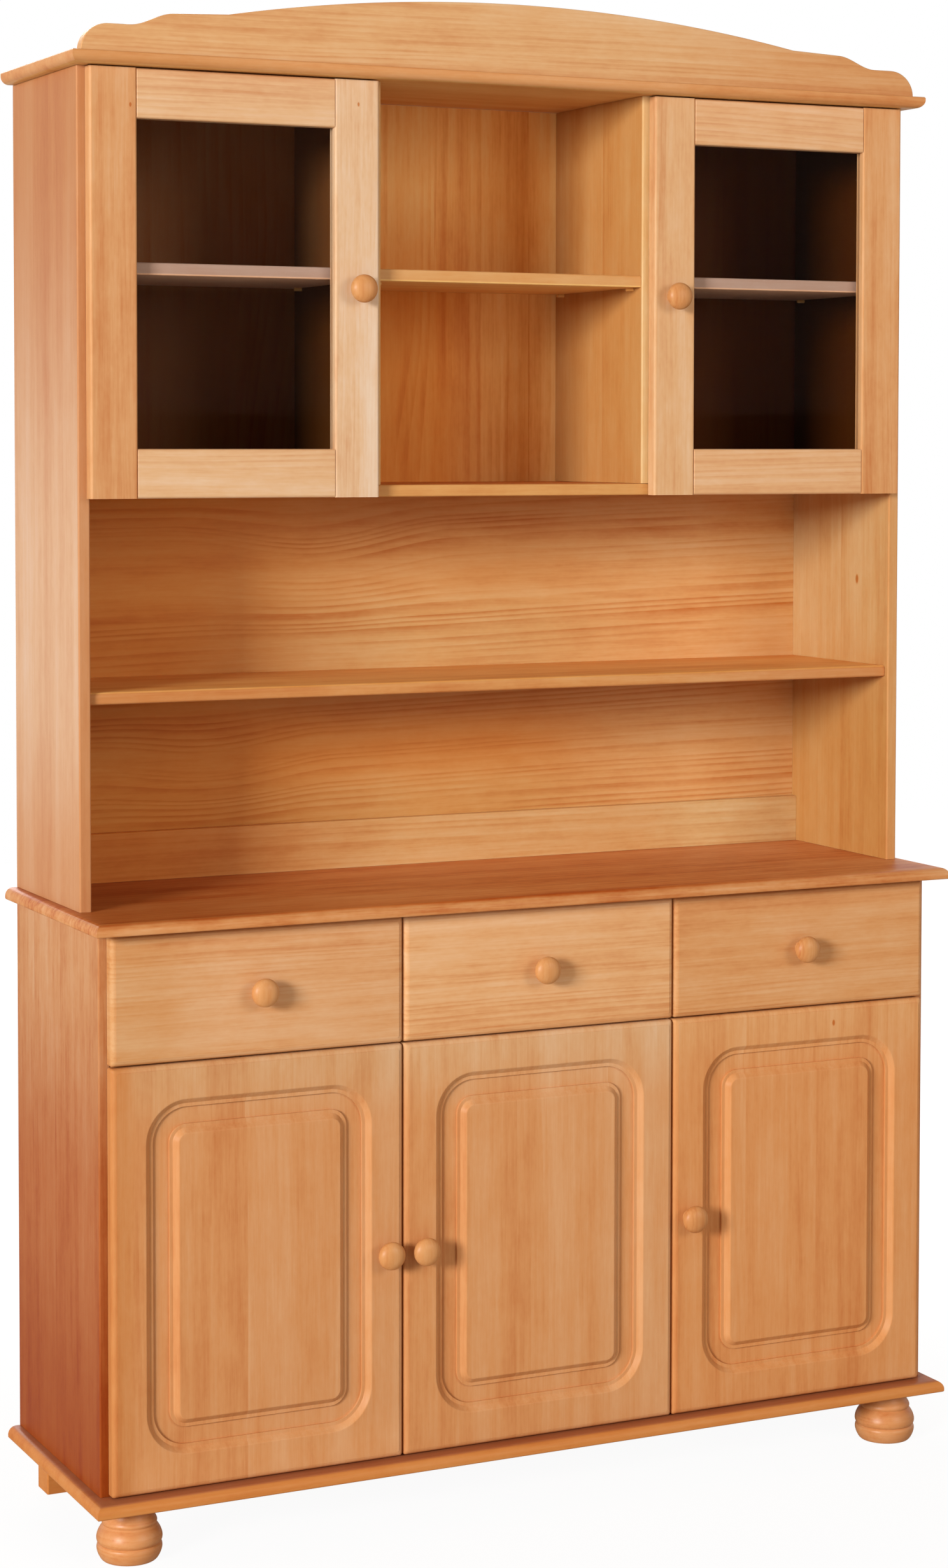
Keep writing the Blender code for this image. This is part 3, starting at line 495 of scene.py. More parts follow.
def pine(name, body, along, across, seed, staves=(), lines=0.0, line_gap=9 * MM, drift=30 * MM,
         rise=0.0, bends=(), knots=(), fades=(), figure=1.0, gloss=0.42, shine=0.12, cupboard_shade=0.0):
    """Lacquered pine with its grain along one axis and its width across another.

    staves: (place across, tone step) of each glue line. lines: strength of the growth rings.
    rise: how much the rings climb across the board for each metre along it. bends: (across, along,
    radius, push) of places where the rings bulge. knots: (across, along, radius). fades: (axis,
    start, end, body colour at the end), mostly painted light and shade. All places are in metres.
    figure: strength of the other patterns. stained: 0, or how much of the painted shade's colour
    shows inside the closed cupboards.
    """
    material, tree, shader = new_material(name)
    wood = Wood(tree, along, across, seed)
    glue_staves(wood, staves)
    fibre = draw_figure(wood, figure)
    darken_knots(wood, knots)
    if lines:
        draw_rings(wood, ring_place(wood, drift, rise, bends, knots), lines, line_gap)
    colour = wood_tones(wood, body)
    for axis, start, end, other in fades:
        # A smooth step wants its range in rising order.
        low, high, at_low, at_high = (start, end, 0.0, 1.0) if end > start else (end, start, 1.0, 0.0)
        share = add_node(tree, STEP, (wood.place[axis], low, high, at_low, at_high),
                         interpolation_type="SMOOTHSTEP")
        mixed = add_node(tree, MIX, {SHARE: share, FIRST: colour, SECOND: wood_tones(wood, other)},
                         data_type="RGBA")
        colour = mixed.outputs[MIXED]
    if cupboard_shade:
        colour = paint_cupboard_shade(wood, colour, cupboard_shade)
    tree.links.new(colour, shader.inputs["Base Color"])
    bump = add_node(tree, "ShaderNodeBump", {"Height": fibre, "Strength": FIBRE_RELIEF,
                                             "Distance": FIBRE_HEIGHT})
    tree.links.new(bump.outputs["Normal"], shader.inputs["Normal"])
    shader.inputs["Roughness"].default_value = gloss
    shader.inputs["Specular IOR Level"].default_value = shine
    return material


print("pine finish ready")

# %% [markdown]
# The other finishes are simple. Hinges are nickel-plated steel: a metal keeps the default IOR, and
# its brushed grain is too fine to see, so a soft noise varies the roughness instead. The panes are
# clear float glass. Light has to pass straight through them to the stained boards behind, so a low
# alpha makes them, and what is left of the surface is dark and very smooth.

# %% Steel and glass
STEEL_CLOUD = 4.5 * MM
STEEL_ROUGHNESS = (0.22, 0.40)


def plated_steel():
    """Bright steel whose sheen is a little uneven."""
    material, tree, shader = new_material("nickel_plated_steel")
    coordinates = add_node(tree, "ShaderNodeTexCoord")
    cloud = add_node(tree, "ShaderNodeTexNoise", {"Vector": coordinates.outputs["Object"],
                                                  "Scale": 1 / STEEL_CLOUD, "Detail": 3.0})
    spread = add_node(tree, STEP, (cloud, 0.0, 1.0, *STEEL_ROUGHNESS))
    tree.links.new(spread.outputs[0], shader.inputs["Roughness"])
    shader.inputs["Base Color"].default_value = linear("#C9C7C1")
    shader.inputs["Metallic"].default_value = 1.0
    return material


def clear_glass():
    """A pane that is almost all see-through."""
    material, tree, shader = new_material("clear_float_glass")
    shader.inputs["Base Color"].default_value = linear("#14110D")
    shader.inputs["Roughness"].default_value = 0.02
    shader.inputs["IOR"].default_value = 1.52
    shader.inputs["Specular IOR Level"].default_value = 0.06
    shader.inputs["Alpha"].default_value = 0.05
    return material


steel = plated_steel()
glass = clear_glass()
print("steel and glass ready")

# %% [markdown]
# Most pieces are boards between two corners, and the corners come from the construction model, so
# a board can't end up in the wrong place. What the camera sees of a board is its edges: a machine
# rounds them, and the lacquer catches light there. A bevel on the named edges makes them, and
# weighted normals keep the wide faces flat in the light. An edge or a face often gets painted light
# and shade of its own, so one helper gives the fade that runs between two depths under a face.

# %% Boards with rounded edges
SIDES = {"left": (0, -1), "right": (0, 1), "front": (1, -1), "back": (1, 1), "bottom": (2, -1),
         "top": (2, 1)}
UPRIGHT_FRONT = (("front", "left"), ("front", "right"))
LYING_FRONT = (("front", "top"), ("front", "bottom"))
UPPER_NOSE = (("front", "top"), ("left", "top"), ("right", "top"))
LOWER_NOSE = (("front", "bottom"), ("left", "bottom"), ("right", "bottom"))
SHARP_OVER = 32
FLAT_WEIGHT = 80
SAME_PLACE = 1e-6


def face_fade(node, side, start, end, colour):
    """A fade near one face of a node, between two depths under that face."""
    axis, sign = SIDES[side]
    low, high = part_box(node)
    face = (high if sign > 0 else low)[axis]
    return "xyz"[axis], face - sign * start, face - sign * end, colour


def finish_piece(name, mesh, material, body, replaced=()):
    """Shade a mesh, hang it on its body and let it stand for construction nodes."""
    mesh.materials.clear()
    mesh.materials.append(material)
    mesh.shade_smooth()
    mesh.set_sharp_from_angle(angle=math.radians(SHARP_OVER))
    piece = bpy.data.objects.new(name, mesh)
    parts.objects.link(piece)
    weighted = piece.modifiers.new("flat_faces", "WEIGHTED_NORMAL")
    weighted.keep_sharp = True
    weighted.weight = FLAT_WEIGHT
    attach(piece, body)
    if replaced:
        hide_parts(*replaced)
    return piece


def to_mesh(bm, name):
    """Turn a bmesh into a mesh whose faces point outwards."""
    bmesh.ops.recalc_face_normals(bm, faces=bm.faces[:])
    mesh = bpy.data.meshes.new(name)
    bm.to_mesh(mesh)
    bm.free()
    return mesh


def board_mesh(name, low, high, rounds=()):
    """A board between two corners. rounds: (radius, segments, pairs of faces that share the edge)."""
    low = Vector(low)
    high = Vector(high)
    middle = (low + high) / 2
    half = (high - low) / 2
    bm = bmesh.new()
    bmesh.ops.create_cube(bm, size=2.0, matrix=Matrix.Translation(middle) @ Matrix.Diagonal((*half, 1)))
    for radius, segments, pairs in rounds:
        chosen = []
        for face_a, face_b in pairs:
            planes = [(axis, (high if sign > 0 else low)[axis]) for axis, sign in
                      (SIDES[face_a], SIDES[face_b])]
            chosen += [edge for edge in bm.edges if all(abs(v.co[axis] - at) < SAME_PLACE
                       for v in edge.verts for axis, at in planes)]
        bmesh.ops.bevel(bm, geom=chosen, offset=radius, offset_type="OFFSET", segments=segments,
                        profile=0.5, affect="EDGES", clamp_overlap=True)
    return to_mesh(bm, name)


def board(name, node, body, material, rounds):
    """A finished board that stands for one node."""
    low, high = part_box(node)
    return finish_piece(name, board_mesh(name, low, high, rounds), material, body, (node,))


ROOT = "carcass"

# %% [markdown]
# Plinth, worktop and cornice share one moulding. Its large round lies on the upper side of the
# plinth and worktop and on the lower side of the cornice, and runs round the front and both ends
# with a mitre at the corners. A small round breaks the opposite edge. A round is given as its
# radius and its count of segments.

# %% Plinth, worktop and cornice
NOSE = (10.5 * MM, 10)
NOSE_EASE = (2.2 * MM, 4)
NOSE_ABOVE = ((*NOSE, UPPER_NOSE), (*NOSE_EASE, LOWER_NOSE))
NOSE_BELOW = ((*NOSE, LOWER_NOSE), (*NOSE_EASE, UPPER_NOSE))

# The plinth's top face is darker: painted shade, as little light falls from above.
plinth_pine = pine("lacquered_pine_plinth", "#C88041", "x", "y", seed=1.0,
                   fades=(face_fade("plinth_board", "top", 2 * MM, 0.1 * MM, "#A6633E"),))
# The worktop's top face is redder than its nose and darker towards its left end, as painted shade, and
# lighter towards its right end, as painted light.
worktop_pine = pine("lacquered_pine_worktop", "#D27C3C", "x", "y", seed=2.0, lines=0.26,
                    line_gap=12 * MM, drift=14 * MM, figure=2.3,
                    fades=(("x", -0.15, -0.55, "#B5652E"), ("x", 0.15, 0.50, "#D78B51"),
                           face_fade("base_top_board", "top", 0.2 * MM, 3.5 * MM, "#C88750")))
# The cornice's underside is lighter, as painted light, and the board is darker towards its left end.
cornice_pine = pine("lacquered_pine_cornice", "#CF9159", "x", "y", seed=3.0, figure=1.2, cupboard_shade=1.0,
                    fades=(("x", -0.25, -0.50, "#C88A52"),
                           face_fade("cornice_board", "bottom", 2 * MM, 0.4 * MM, "#DDAA68")))
board("plinth", "plinth_board", ROOT, plinth_pine, NOSE_ABOVE)
board("worktop", "base_top_board", ROOT, worktop_pine, NOSE_ABOVE)
board("cornice", "cornice_board", ROOT, cornice_pine, NOSE_BELOW)
print("moulded boards done")

# %% [markdown]
# A skin joins loops of points that have the same count, and it is this lesson's main tool: uprights,
# fronts, mouldings and frames are all skins. The quarter ellipse gives the points of a rounded edge.

# %% Skins and rounded edges


def skin(name, loops):
    """Join loops of the same count, and close the first and the last with a face."""
    bm = bmesh.new()
    rows = [[bm.verts.new(point) for point in loop] for loop in loops]
    bm.faces.new(rows[0])
    bm.faces.new(rows[-1])
    for row, after in zip(rows, rows[1:]):
        for k in range(len(row)):
            j = (k + 1) % len(row)
            bm.faces.new((row[k], row[j], after[j], after[k]))
    return to_mesh(bm, name)


def quarter(width, rise, steps, steep_first):
    """Points of a quarter ellipse as (along, up), from (0, 0) to (width, rise)."""
    points = []
    for k in range(steps + 1):
        angle = math.radians(90 * k / steps)
        if steep_first:
            points.append((width * (1 - math.cos(angle)), rise * math.sin(angle)))
        else:
            points.append((width * math.sin(angle), rise * (1 - math.cos(angle))))
    return points


print("a 6 mm round in 3 steps:", [[round(v / MM, 2) for v in p] for p in quarter(6 * MM, 6 * MM, 3, True)])

# %% [markdown]
# The uprights are panels with their grain running up. Each side panel has its own seed, so that no
# two show the same staves. All front edges are lightly eased. The side panels have a rebate at the
# back that holds the thin back panels, so their section is an outline, and a skin stretches it
# upwards.

# %% Side panels and partitions
EASED = 2.0 * MM
EASED_STEPS = 4
EASED_UPRIGHT = (EASED, EASED_STEPS, UPRIGHT_FRONT)
JOINT = 0.3 * MM


def rebated_side(node, sign, back, material):
    """A side panel whose inner rear corner is cut away for the back panel."""
    low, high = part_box(node)
    outer, inner = (high.x, low.x) if sign > 0 else (low.x, high.x)
    back_low, back_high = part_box(back)
    rebate_x = sign * (back_high.x + JOINT)
    rebate_y = back_low.y - JOINT
    outline = [(outer - sign * along, low.y + EASED - up)
               for along, up in quarter(EASED, EASED, EASED_STEPS, True)]
    outline += [(inner + sign * (EASED - along), low.y + up)
                for along, up in quarter(EASED, EASED, EASED_STEPS, False)]
    outline += [(inner, rebate_y), (rebate_x, rebate_y), (rebate_x, high.y), (outer, high.y)]
    loops = [[Vector((x, y, z)) for x, y in outline] for z in (low.z, high.z)]
    finish_piece(node + "_panel", skin(node, loops), material, ROOT, (node,))


def hutch_front_fade(colour):
    """Painted light and shade on the edges at the hutch's front, which all lie in one plane."""
    return face_fade("hutch_side_left", "front", 4 * MM, 0.5 * MM, colour)


# The base's left side darkens towards the floor: painted shade, where less light reaches it.
side_left_low = pine("lacquered_pine_side_left_base", "#C08859", "z", "y", seed=4.0, figure=1.9,
                     fades=(("z", 0.74, 0.42, "#A95F30"), ("z", 0.42, 0.10, "#954313")),
                     staves=((0.03, 0.08), (0.11, -0.10)))
# The hutch's left side has a painted sheen in a band at about 1.1 m, with painted shade above and below it,
# and painted shade on its front edge.
side_left_high = pine("lacquered_pine_side_left_hutch", "#CBA17D", "z", "y", seed=5.0, cupboard_shade=1.0,
                      figure=0.8, fades=(("z", 1.15, 1.75, "#B27340"), ("z", 1.05, 0.80, "#C0875A"),
                                         hutch_front_fade("#BE8355")),
                      staves=((0.02, -0.06), (0.10, 0.08)))
side_right_low = pine("lacquered_pine_side_right_base", "#CB8A55", "z", "y", seed=6.0,
                      staves=((0.0, 0.08), (0.09, -0.06)))
# The hutch's right side gets a deeper painted shade inside its cupboard, where the left lamp would light
# it, painted shade low in the open bay, and painted tones of their own on its front edge and outer face.
side_right_high = pine("lacquered_pine_side_right_hutch", "#C39862", "z", "y", seed=7.0, cupboard_shade=0.45,
                       fades=(("z", 1.12, 0.95, "#BD884B"), hutch_front_fade("#CA9158"),
                              face_fade("hutch_side_right", "right", 1.5 * MM, 0.2 * MM, "#CC8F5A")),
                       staves=((0.05, 0.08),), knots=((0.009, 1.162, 0.003),))
# The hutch partitions get a deeper painted shade inside the cupboards, where the left lamp would light
# them, and painted light on their front edges.
partition_pine = pine("lacquered_pine_partition", "#C0874A", "z", "y", seed=8.0, cupboard_shade=0.45,
                      fades=(hutch_front_fade("#D8AE75"),), staves=((0.04, 0.10),))
for node, sign, back, material in (("base_side_left", -1, "base_back", side_left_low),
                                   ("base_side_right", 1, "base_back", side_right_low),
                                   ("hutch_side_left", -1, "hutch_back_upper", side_left_high),
                                   ("hutch_side_right", 1, "hutch_back_upper", side_right_high)):
    rebated_side(node, sign, back, material)
for node in ("hutch_partition_left", "hutch_partition_right", "base_partition", "drawer_divider"):
    board(node + "_panel", node, ROOT, partition_pine, (EASED_UPRIGHT,))
print("uprights done")

# %% [markdown]
# The shelves are plain boards too. The open shelf, the cupboard floor and the rail are fixed. The
# others lie loose on pegs, and the two behind the glass have a thin pale wash instead of the
# painted shade that darkens the walls around them.

# %% Shelves, cupboard floor and rail
PEG_DROP = 4.4 * MM
OPEN_SHELF_ROUND = (5 * MM, 8)
OPEN_SHELF_EASE = (3 * MM, 5)
LOOSE_STEPS = 5


def underside_light(node, colour):
    """Painted light on a loose shelf's underside, which lies higher than its pegs."""
    return face_fade(node, "bottom", PEG_DROP + 2.5 * MM, PEG_DROP + 1 * MM, colour)


# The shelf boards are darker towards both ends, most at the left, as painted shade, and the open shelf's
# top face is lighter, as painted light.
shelf_pine = pine("lacquered_pine_shelf", "#CC8F54", "x", "y", seed=9.0, lines=0.20, drift=14 * MM,
                  figure=1.3, fades=(("x", -0.15, -0.42, "#BF7B43"), ("x", 0.15, 0.42, "#C6834B"),
                                     face_fade("open_shelf", "top", 2.5 * MM, 0.1 * MM, "#ECAA5C")))
# The centre shelf's underside is lighter: painted light.
centre_pine = pine("lacquered_pine_centre_shelf", "#CC9154", "x", "y", seed=9.5, figure=1.2,
                   fades=(underside_light("hutch_shelf_centre", "#ECBA6F"),))
# The cupboard floor's faces are darker and redder than its front edge: painted shade on the faces and
# painted light on the edge.
floor_pine = pine("lacquered_pine_cupboard_floor", "#C87336", "x", "y", seed=10.0, cupboard_shade=1.0,
                  fades=(hutch_front_fade("#CF9657"),))
# The cupboard shelves' undersides are lighter: painted light.
washed_pine = pine("washed_pine_cupboard_shelf", "#BC9C8A", "x", "y", seed=10.5, figure=0.5,
                   fades=(underside_light("hutch_shelf_left", "#FAC8A1"),))
# The rear rail is redder towards its left end, which lies in shade, and paler towards its right end:
# painted shade and painted light.
rail_pine = pine("lacquered_pine_rear_rail", "#D1A065", "x", "z", seed=11.0, lines=0.16,
                 line_gap=14 * MM, drift=12 * MM, figure=1.2,
                 fades=(("x", 0.30, 0.42, "#D5B078"), ("x", -0.05, -0.45, "#DD8A3E")))
board("open_shelf_board", "open_shelf", ROOT, shelf_pine,
      ((*OPEN_SHELF_ROUND, (("front", "top"),)), (*OPEN_SHELF_EASE, (("front", "bottom"),))))
board("cupboard_floor", "cabinet_floor", ROOT, floor_pine, ((EASED, EASED_STEPS, LYING_FRONT),))
board("rear_rail_board", "rear_rail", ROOT, rail_pine, ((EASED, EASED_STEPS, (("front", "top"),)),))


def pegged_shelf(node, material):
    """The board of a loose shelf: its node is deeper, because it holds the pegs too."""
    low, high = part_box(node)
    low.z += PEG_DROP
    mesh = board_mesh(node, low, high, ((EASED, LOOSE_STEPS, LYING_FRONT), EASED_UPRIGHT))
    return finish_piece(node + "_board", mesh, material, ROOT, (node,))


pegged_shelf("hutch_shelf_centre", centre_pine)
for node in ("base_shelf_left", "base_shelf_right"):
    pegged_shelf(node, shelf_pine)
for node in ("hutch_shelf_left", "hutch_shelf_right"):
    pegged_shelf(node, washed_pine)
print("shelves done")

# %% [markdown]
# Pegs, nails and screw heads all repeat one small round shape, so one node tree sets them out. It
# makes a pin, turns it along an axis and stands a copy on each point that it is given, or at even
# spaces along each line. The copies are then made real, because only real faces can be exported.

# %% A node tree for pins
PIN_SIDES = 16


def pin_tree(name, along_lines):
    """A node tree that stands a pin on each point, or at even spaces along each line."""
    tree = bpy.data.node_groups.new(name, "GeometryNodeTree")
    tree.is_modifier = True
    sockets = [("Radius", "NodeSocketFloat"), ("Tip Radius", "NodeSocketFloat"),
               ("Length", "NodeSocketFloat"), ("Axis", "NodeSocketVector"),
               ("Material", "NodeSocketMaterial")]
    if along_lines:
        sockets.append(("Spacing", "NodeSocketFloat"))
    tree.interface.new_socket("Geometry", in_out="OUTPUT", socket_type="NodeSocketGeometry")
    for label, kind in [("Geometry", "NodeSocketGeometry")] + sockets:
        tree.interface.new_socket(label, in_out="INPUT", socket_type=kind)
    given = add_node(tree, "NodeGroupInput").outputs
    pin = add_node(tree, "GeometryNodeMeshCone",
                   {"Vertices": PIN_SIDES, "Radius Top": given["Tip Radius"],
                    "Radius Bottom": given["Radius"], "Depth": given["Length"]})
    points = given["Geometry"]
    if along_lines:
        lines = add_node(tree, "GeometryNodeMeshToCurve", {"Mesh": points})
        points = add_node(tree, "GeometryNodeResampleCurve", {"Curve": lines, "Length": given["Spacing"]},
                          mode="LENGTH")
    turn = add_node(tree, "FunctionNodeAlignRotationToVector", {"Vector": given["Axis"]}, axis="Z")
    copies = add_node(tree, "GeometryNodeInstanceOnPoints",
                      {"Points": points, "Instance": pin, "Rotation": turn})
    real = add_node(tree, "GeometryNodeRealizeInstances", {"Geometry": copies})
    made = add_node(tree, "GeometryNodeSetMaterial", {"Geometry": real, "Material": given["Material"]})
    add_node(tree, "NodeGroupOutput", {"Geometry": made})
    return tree


def evaluated_mesh(thing):
    """A plain mesh of an object as its modifiers leave it."""
    bpy.context.view_layer.update()
    return bpy.data.meshes.new_from_object(thing.evaluated_get(bpy.context.evaluated_depsgraph_get()))


def set_pins(name, tree, points, lines, inputs, body):
    """Pins at points, or along the lines between them, as one plain mesh on a body."""
    guide_mesh = bpy.data.meshes.new(name + "_guide")
    guide_mesh.from_pydata([tuple(point) for point in points], lines, [])
    guide = bpy.data.objects.new(name + "_guide", guide_mesh)
    parts.objects.link(guide)
    pins = guide.modifiers.new("pins", "NODES")
    pins.node_group = tree
    for socket in tree.interface.items_tree:
        if socket.in_out == "INPUT" and socket.name in inputs:
            pins[socket.identifier] = inputs[socket.name]
    mesh = evaluated_mesh(guide)
    guide.modifiers.remove(pins)
    bpy.data.objects.remove(guide)
    print(name, len(mesh.polygons), "faces")
    return finish_piece(name, mesh, inputs["Material"], body, ())


pins_at_points = pin_tree("pins_at_points", False)
pins_along_lines = pin_tree("pins_along_lines", True)

# %% [markdown]
# Four wooden pegs carry each loose shelf, two at each end. They are let a little way into its
# underside, so the shelf can't slide forwards.

# %% Shelf pegs
PEG_RADIUS = 2.5 * MM
PEG_LENGTH = 10 * MM
PEG_SETBACKS = (22 * MM, 24 * MM)

peg_points = []
for node in ("hutch_shelf_left", "hutch_shelf_centre", "hutch_shelf_right", "base_shelf_left",
             "base_shelf_right"):
    low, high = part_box(node)
    for y in (low.y + PEG_SETBACKS[0], high.y - PEG_SETBACKS[1]):
        for x in (low.x, high.x - PEG_LENGTH):
            peg_points.append((x, y, low.z + PEG_RADIUS))
set_pins("shelf_pegs", pins_at_points, peg_points, [],
         {"Radius": PEG_RADIUS, "Tip Radius": PEG_RADIUS, "Length": PEG_LENGTH, "Axis": (1, 0, 0),
          "Material": centre_pine}, ROOT)

# %% [markdown]
# The thin backs and the tier boards are plain rectangles already, so their construction solids stay
# and only take a finish, and so do the fixed arms of the hinges. The lower back has its grain
# across and bold growth lines, and the upper one has it upright. The outer faces of the backs are
# plain.

# %% Backs, tier boards and hinge arms


def dress(node, material):
    """Give a construction node that keeps its shape a finish."""
    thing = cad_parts[node]
    thing.data.materials.clear()
    thing.data.materials.append(material)


OUTER_FACE = face_fade("hutch_back_upper", "back", 2.4 * MM, 1.5 * MM, "#D1A167")
# The lower back is paler just above the open shelf and redder under it, as painted light and shade; its
# left end is redder, as painted shade, and its right end paler, as painted light.
back_low_pine = pine("lacquered_pine_back_lower", "#D19454", "x", "z", seed=12.0, lines=0.34,
                     line_gap=11 * MM, drift=9 * MM, rise=0.03,
                     bends=((1.196, -0.178, 0.12, 0.024), (0.921, -0.320, 0.10, 0.02)),
                     fades=(("z", 1.19, 1.09, "#CEA065"), ("z", 1.06, 0.95, "#D38A43"),
                            ("z", 0.94, 0.87, "#CC9454"), ("x", 0.10, 0.38, "#D9A366"),
                            ("x", -0.05, -0.42, "#DC8F3F"), OUTER_FACE))
# The upper back is lighter right of the middle and high in the centre bay: painted light where the lamps
# leave it in shade.
back_high_pine = pine("lacquered_pine_back_upper", "#E39340", "z", "x", seed=13.0, lines=0.24,
                      line_gap=19 * MM, drift=14 * MM, bends=((-0.17, 1.27, 0.22, 0.07),), figure=1.2,
                      fades=(("x", 0.0, 0.10, "#F4BB70"), ("z", 1.52, 1.70, "#F9BA6A"), OUTER_FACE),
                      cupboard_shade=1.0, shine=0.05,
                      staves=((-0.40, 0.1), (-0.27, -0.1), (0.002, -0.03), (0.144, 0.05),
                              (0.31, 0.0), (0.45, -0.08)))
dress("hutch_back_lower", back_low_pine)
dress("hutch_back_upper", back_high_pine)
dress("base_back", back_high_pine)
for node in ("tier_board_left", "tier_board_right"):
    dress(node, shelf_pine)
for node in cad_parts:
    if node.startswith("hinge_"):
        dress(node, steel)
print("backs, tier boards and hinge arms done")

# %% [markdown]
# Small flat nails hold the thin backs in their rebates. They follow the edge of each panel, a few
# millimetres in, at even spaces.

# %% Nails in the backs
NAIL_RADIUS = 2.4 * MM
NAIL_TIP = 2.0 * MM
NAIL_HEAD = 0.6 * MM
NAIL_SINK = 0.5 * MM
NAIL_INSET = 4 * MM
NAIL_SPACING = 110 * MM

nail_points = []
nail_lines = []
for node in ("base_back", "hutch_back_lower", "hutch_back_upper"):
    low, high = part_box(node)
    first = len(nail_points)
    for x, z in ((low.x + NAIL_INSET, low.z + NAIL_INSET), (high.x - NAIL_INSET, low.z + NAIL_INSET),
                 (high.x - NAIL_INSET, high.z - NAIL_INSET), (low.x + NAIL_INSET, high.z - NAIL_INSET)):
        nail_points.append((x, high.y - NAIL_SINK, z))
    nail_lines += [(first + k, first + (k + 1) % 4) for k in range(4)]
set_pins("back_nails", pins_along_lines, nail_points, nail_lines,
         {"Radius": NAIL_RADIUS, "Tip Radius": NAIL_TIP, "Length": NAIL_HEAD, "Axis": (0, 1, 0),
          "Material": steel, "Spacing": NAIL_SPACING}, ROOT)

# %% [markdown]
# Drawer fronts and doors share one edge. A router rounds it, set a little deep, which leaves a fine
# step up to the face that catches the light. The front is a skin through concentric rounded
# rectangles, so that the round and its step run cleanly past the corners.

# %% Edge of the fronts
CORNER_STEPS = 20
EDGE_STEPS = 8
EDGE_ROUND = 6 * MM
EDGE_STEP = 0.6 * MM
EDGE_CORNER = 3 * MM


def edge_sections(thick):
    """The edge as (inset, distance behind the face, corner radius), from the back to the face."""
    sections = [(0.0, thick, EDGE_CORNER)]
    sections += [(along, EDGE_STEP + EDGE_ROUND - up, EDGE_CORNER)
                 for along, up in quarter(EDGE_ROUND, EDGE_ROUND, EDGE_STEPS, True)]
    return sections + [(EDGE_ROUND, 0.0, EDGE_CORNER)]


def ring(half_x, half_z, radius, middle, y):
    """A rounded rectangle in a plane square to Y."""
    points = []
    for corner, (side_x, side_z) in enumerate(((1, -1), (1, 1), (-1, 1), (-1, -1))):
        centre_x = middle.x + side_x * (half_x - radius)
        centre_z = middle.z + side_z * (half_z - radius)
        for k in range(CORNER_STEPS + 1):
            angle = math.radians(90 * (corner - 1) + 90 * k / CORNER_STEPS)
            points.append(Vector((centre_x + radius * math.cos(angle), y,
                                  centre_z + radius * math.sin(angle))))
    return points


def front_mesh(node, more_sections=()):
    """The skin of a drawer front or a door, at its node's place."""
    low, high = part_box(node)
    middle = (low + high) / 2
    half = (high - low) / 2
    sections = edge_sections(high.y - low.y) + list(more_sections)
    return skin(node, [ring(half.x - inset, half.z - inset, radius, middle, low.y + down)
                       for inset, down, radius in sections])


print("edge from back to face, mm:", [round(s[1] / MM, 1) for s in edge_sections(16 * MM)])

# %% [markdown]
# The box behind a drawer front is made of four thin boards, with a bottom set in between them, in
# pale unlacquered wood.

# %% Drawers
DRAWER_WALL = 12 * MM
BOTTOM_RISE = 8 * MM
BOTTOM_THICK = 3 * MM
BOX_EASE = (1 * MM, 2)
RAW_GLOSS = 0.6

box_pine = pine("raw_pine_drawer_box", "#DDB98C", "x", "z", seed=14.0, gloss=RAW_GLOSS)
box_side_pine = pine("raw_pine_drawer_side", "#DDB98C", "y", "z", seed=15.0, gloss=RAW_GLOSS)
bottom_ply = pine("raw_plywood_drawer_bottom", "#D9B487", "x", "y", seed=16.0, gloss=RAW_GLOSS)


def drawer(side, seed, tint, fades=()):
    """A drawer's front and the five boards of its box."""
    body = "drawer_" + side
    front = pine("lacquered_pine_drawer_front_" + side, tint, "x", "z", seed, lines=0.17,
                 line_gap=8 * MM, drift=12 * MM, figure=1.25, fades=fades)
    node = "drawer_front_" + side
    finish_piece("drawer_%s_face" % side, front_mesh(node), front, body, (node,))
    low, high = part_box("drawer_box_" + side)
    name = "drawer_%s_box" % side
    inner_low = low + Vector((DRAWER_WALL, DRAWER_WALL, 0))
    inner_high = high - Vector((DRAWER_WALL, DRAWER_WALL, 0))
    walls = (("side_a", low, Vector((inner_low.x, high.y, high.z)), box_side_pine),
             ("side_b", Vector((inner_high.x, low.y, low.z)), high, box_side_pine),
             ("inner_front", Vector((inner_low.x, low.y, low.z)),
              Vector((inner_high.x, inner_low.y, high.z)), box_pine),
             ("back", Vector((inner_low.x, inner_high.y, low.z)),
              Vector((inner_high.x, high.y, high.z)), box_pine))
    ease = ((*BOX_EASE, [(face, "top") for face in ("left", "right", "front", "back")]),)
    for label, corner_low, corner_high, material in walls:
        mesh = board_mesh(name, corner_low, corner_high, ease)
        replaced = ("drawer_box_" + side,) if label == "side_a" else ()
        finish_piece("%s_%s" % (name, label), mesh, material, body, replaced)
    floor_low = Vector((inner_low.x, inner_low.y, low.z + BOTTOM_RISE))
    floor_high = Vector((inner_high.x, inner_high.y, low.z + BOTTOM_RISE + BOTTOM_THICK))
    finish_piece(name + "_bottom", board_mesh(name, floor_low, floor_high), bottom_ply, body, ())


drawer("left", 17.0, "#D09A68",
       (face_fade("drawer_front_left", "left", 154 * MM, 34 * MM, "#C78F5A"),))
drawer("middle", 18.0, "#D8A36F")
drawer("right", 19.0, "#CF955F")
print("drawers done")

# %% [markdown]
# Each door hangs on two concealed hinges. Their steel cups are sunk in round bores in the door's
# back, so those bores are cut before the door is finished. The hinge's place comes from its fixed
# arm in the construction model.

# %% Bores for the hinge cups
CUP_RADIUS = 17.5 * MM
CUP_DEPTH = 12 * MM
CUP_INSET = 22 * MM
CUP_SIDES = 48
HINGED = {"door_left": ("door_left", -1), "door_middle": ("door_middle", 1),
          "door_right": ("door_right", 1), "glazed_left": ("glazed_frame_left", -1),
          "glazed_right": ("glazed_frame_right", 1)}


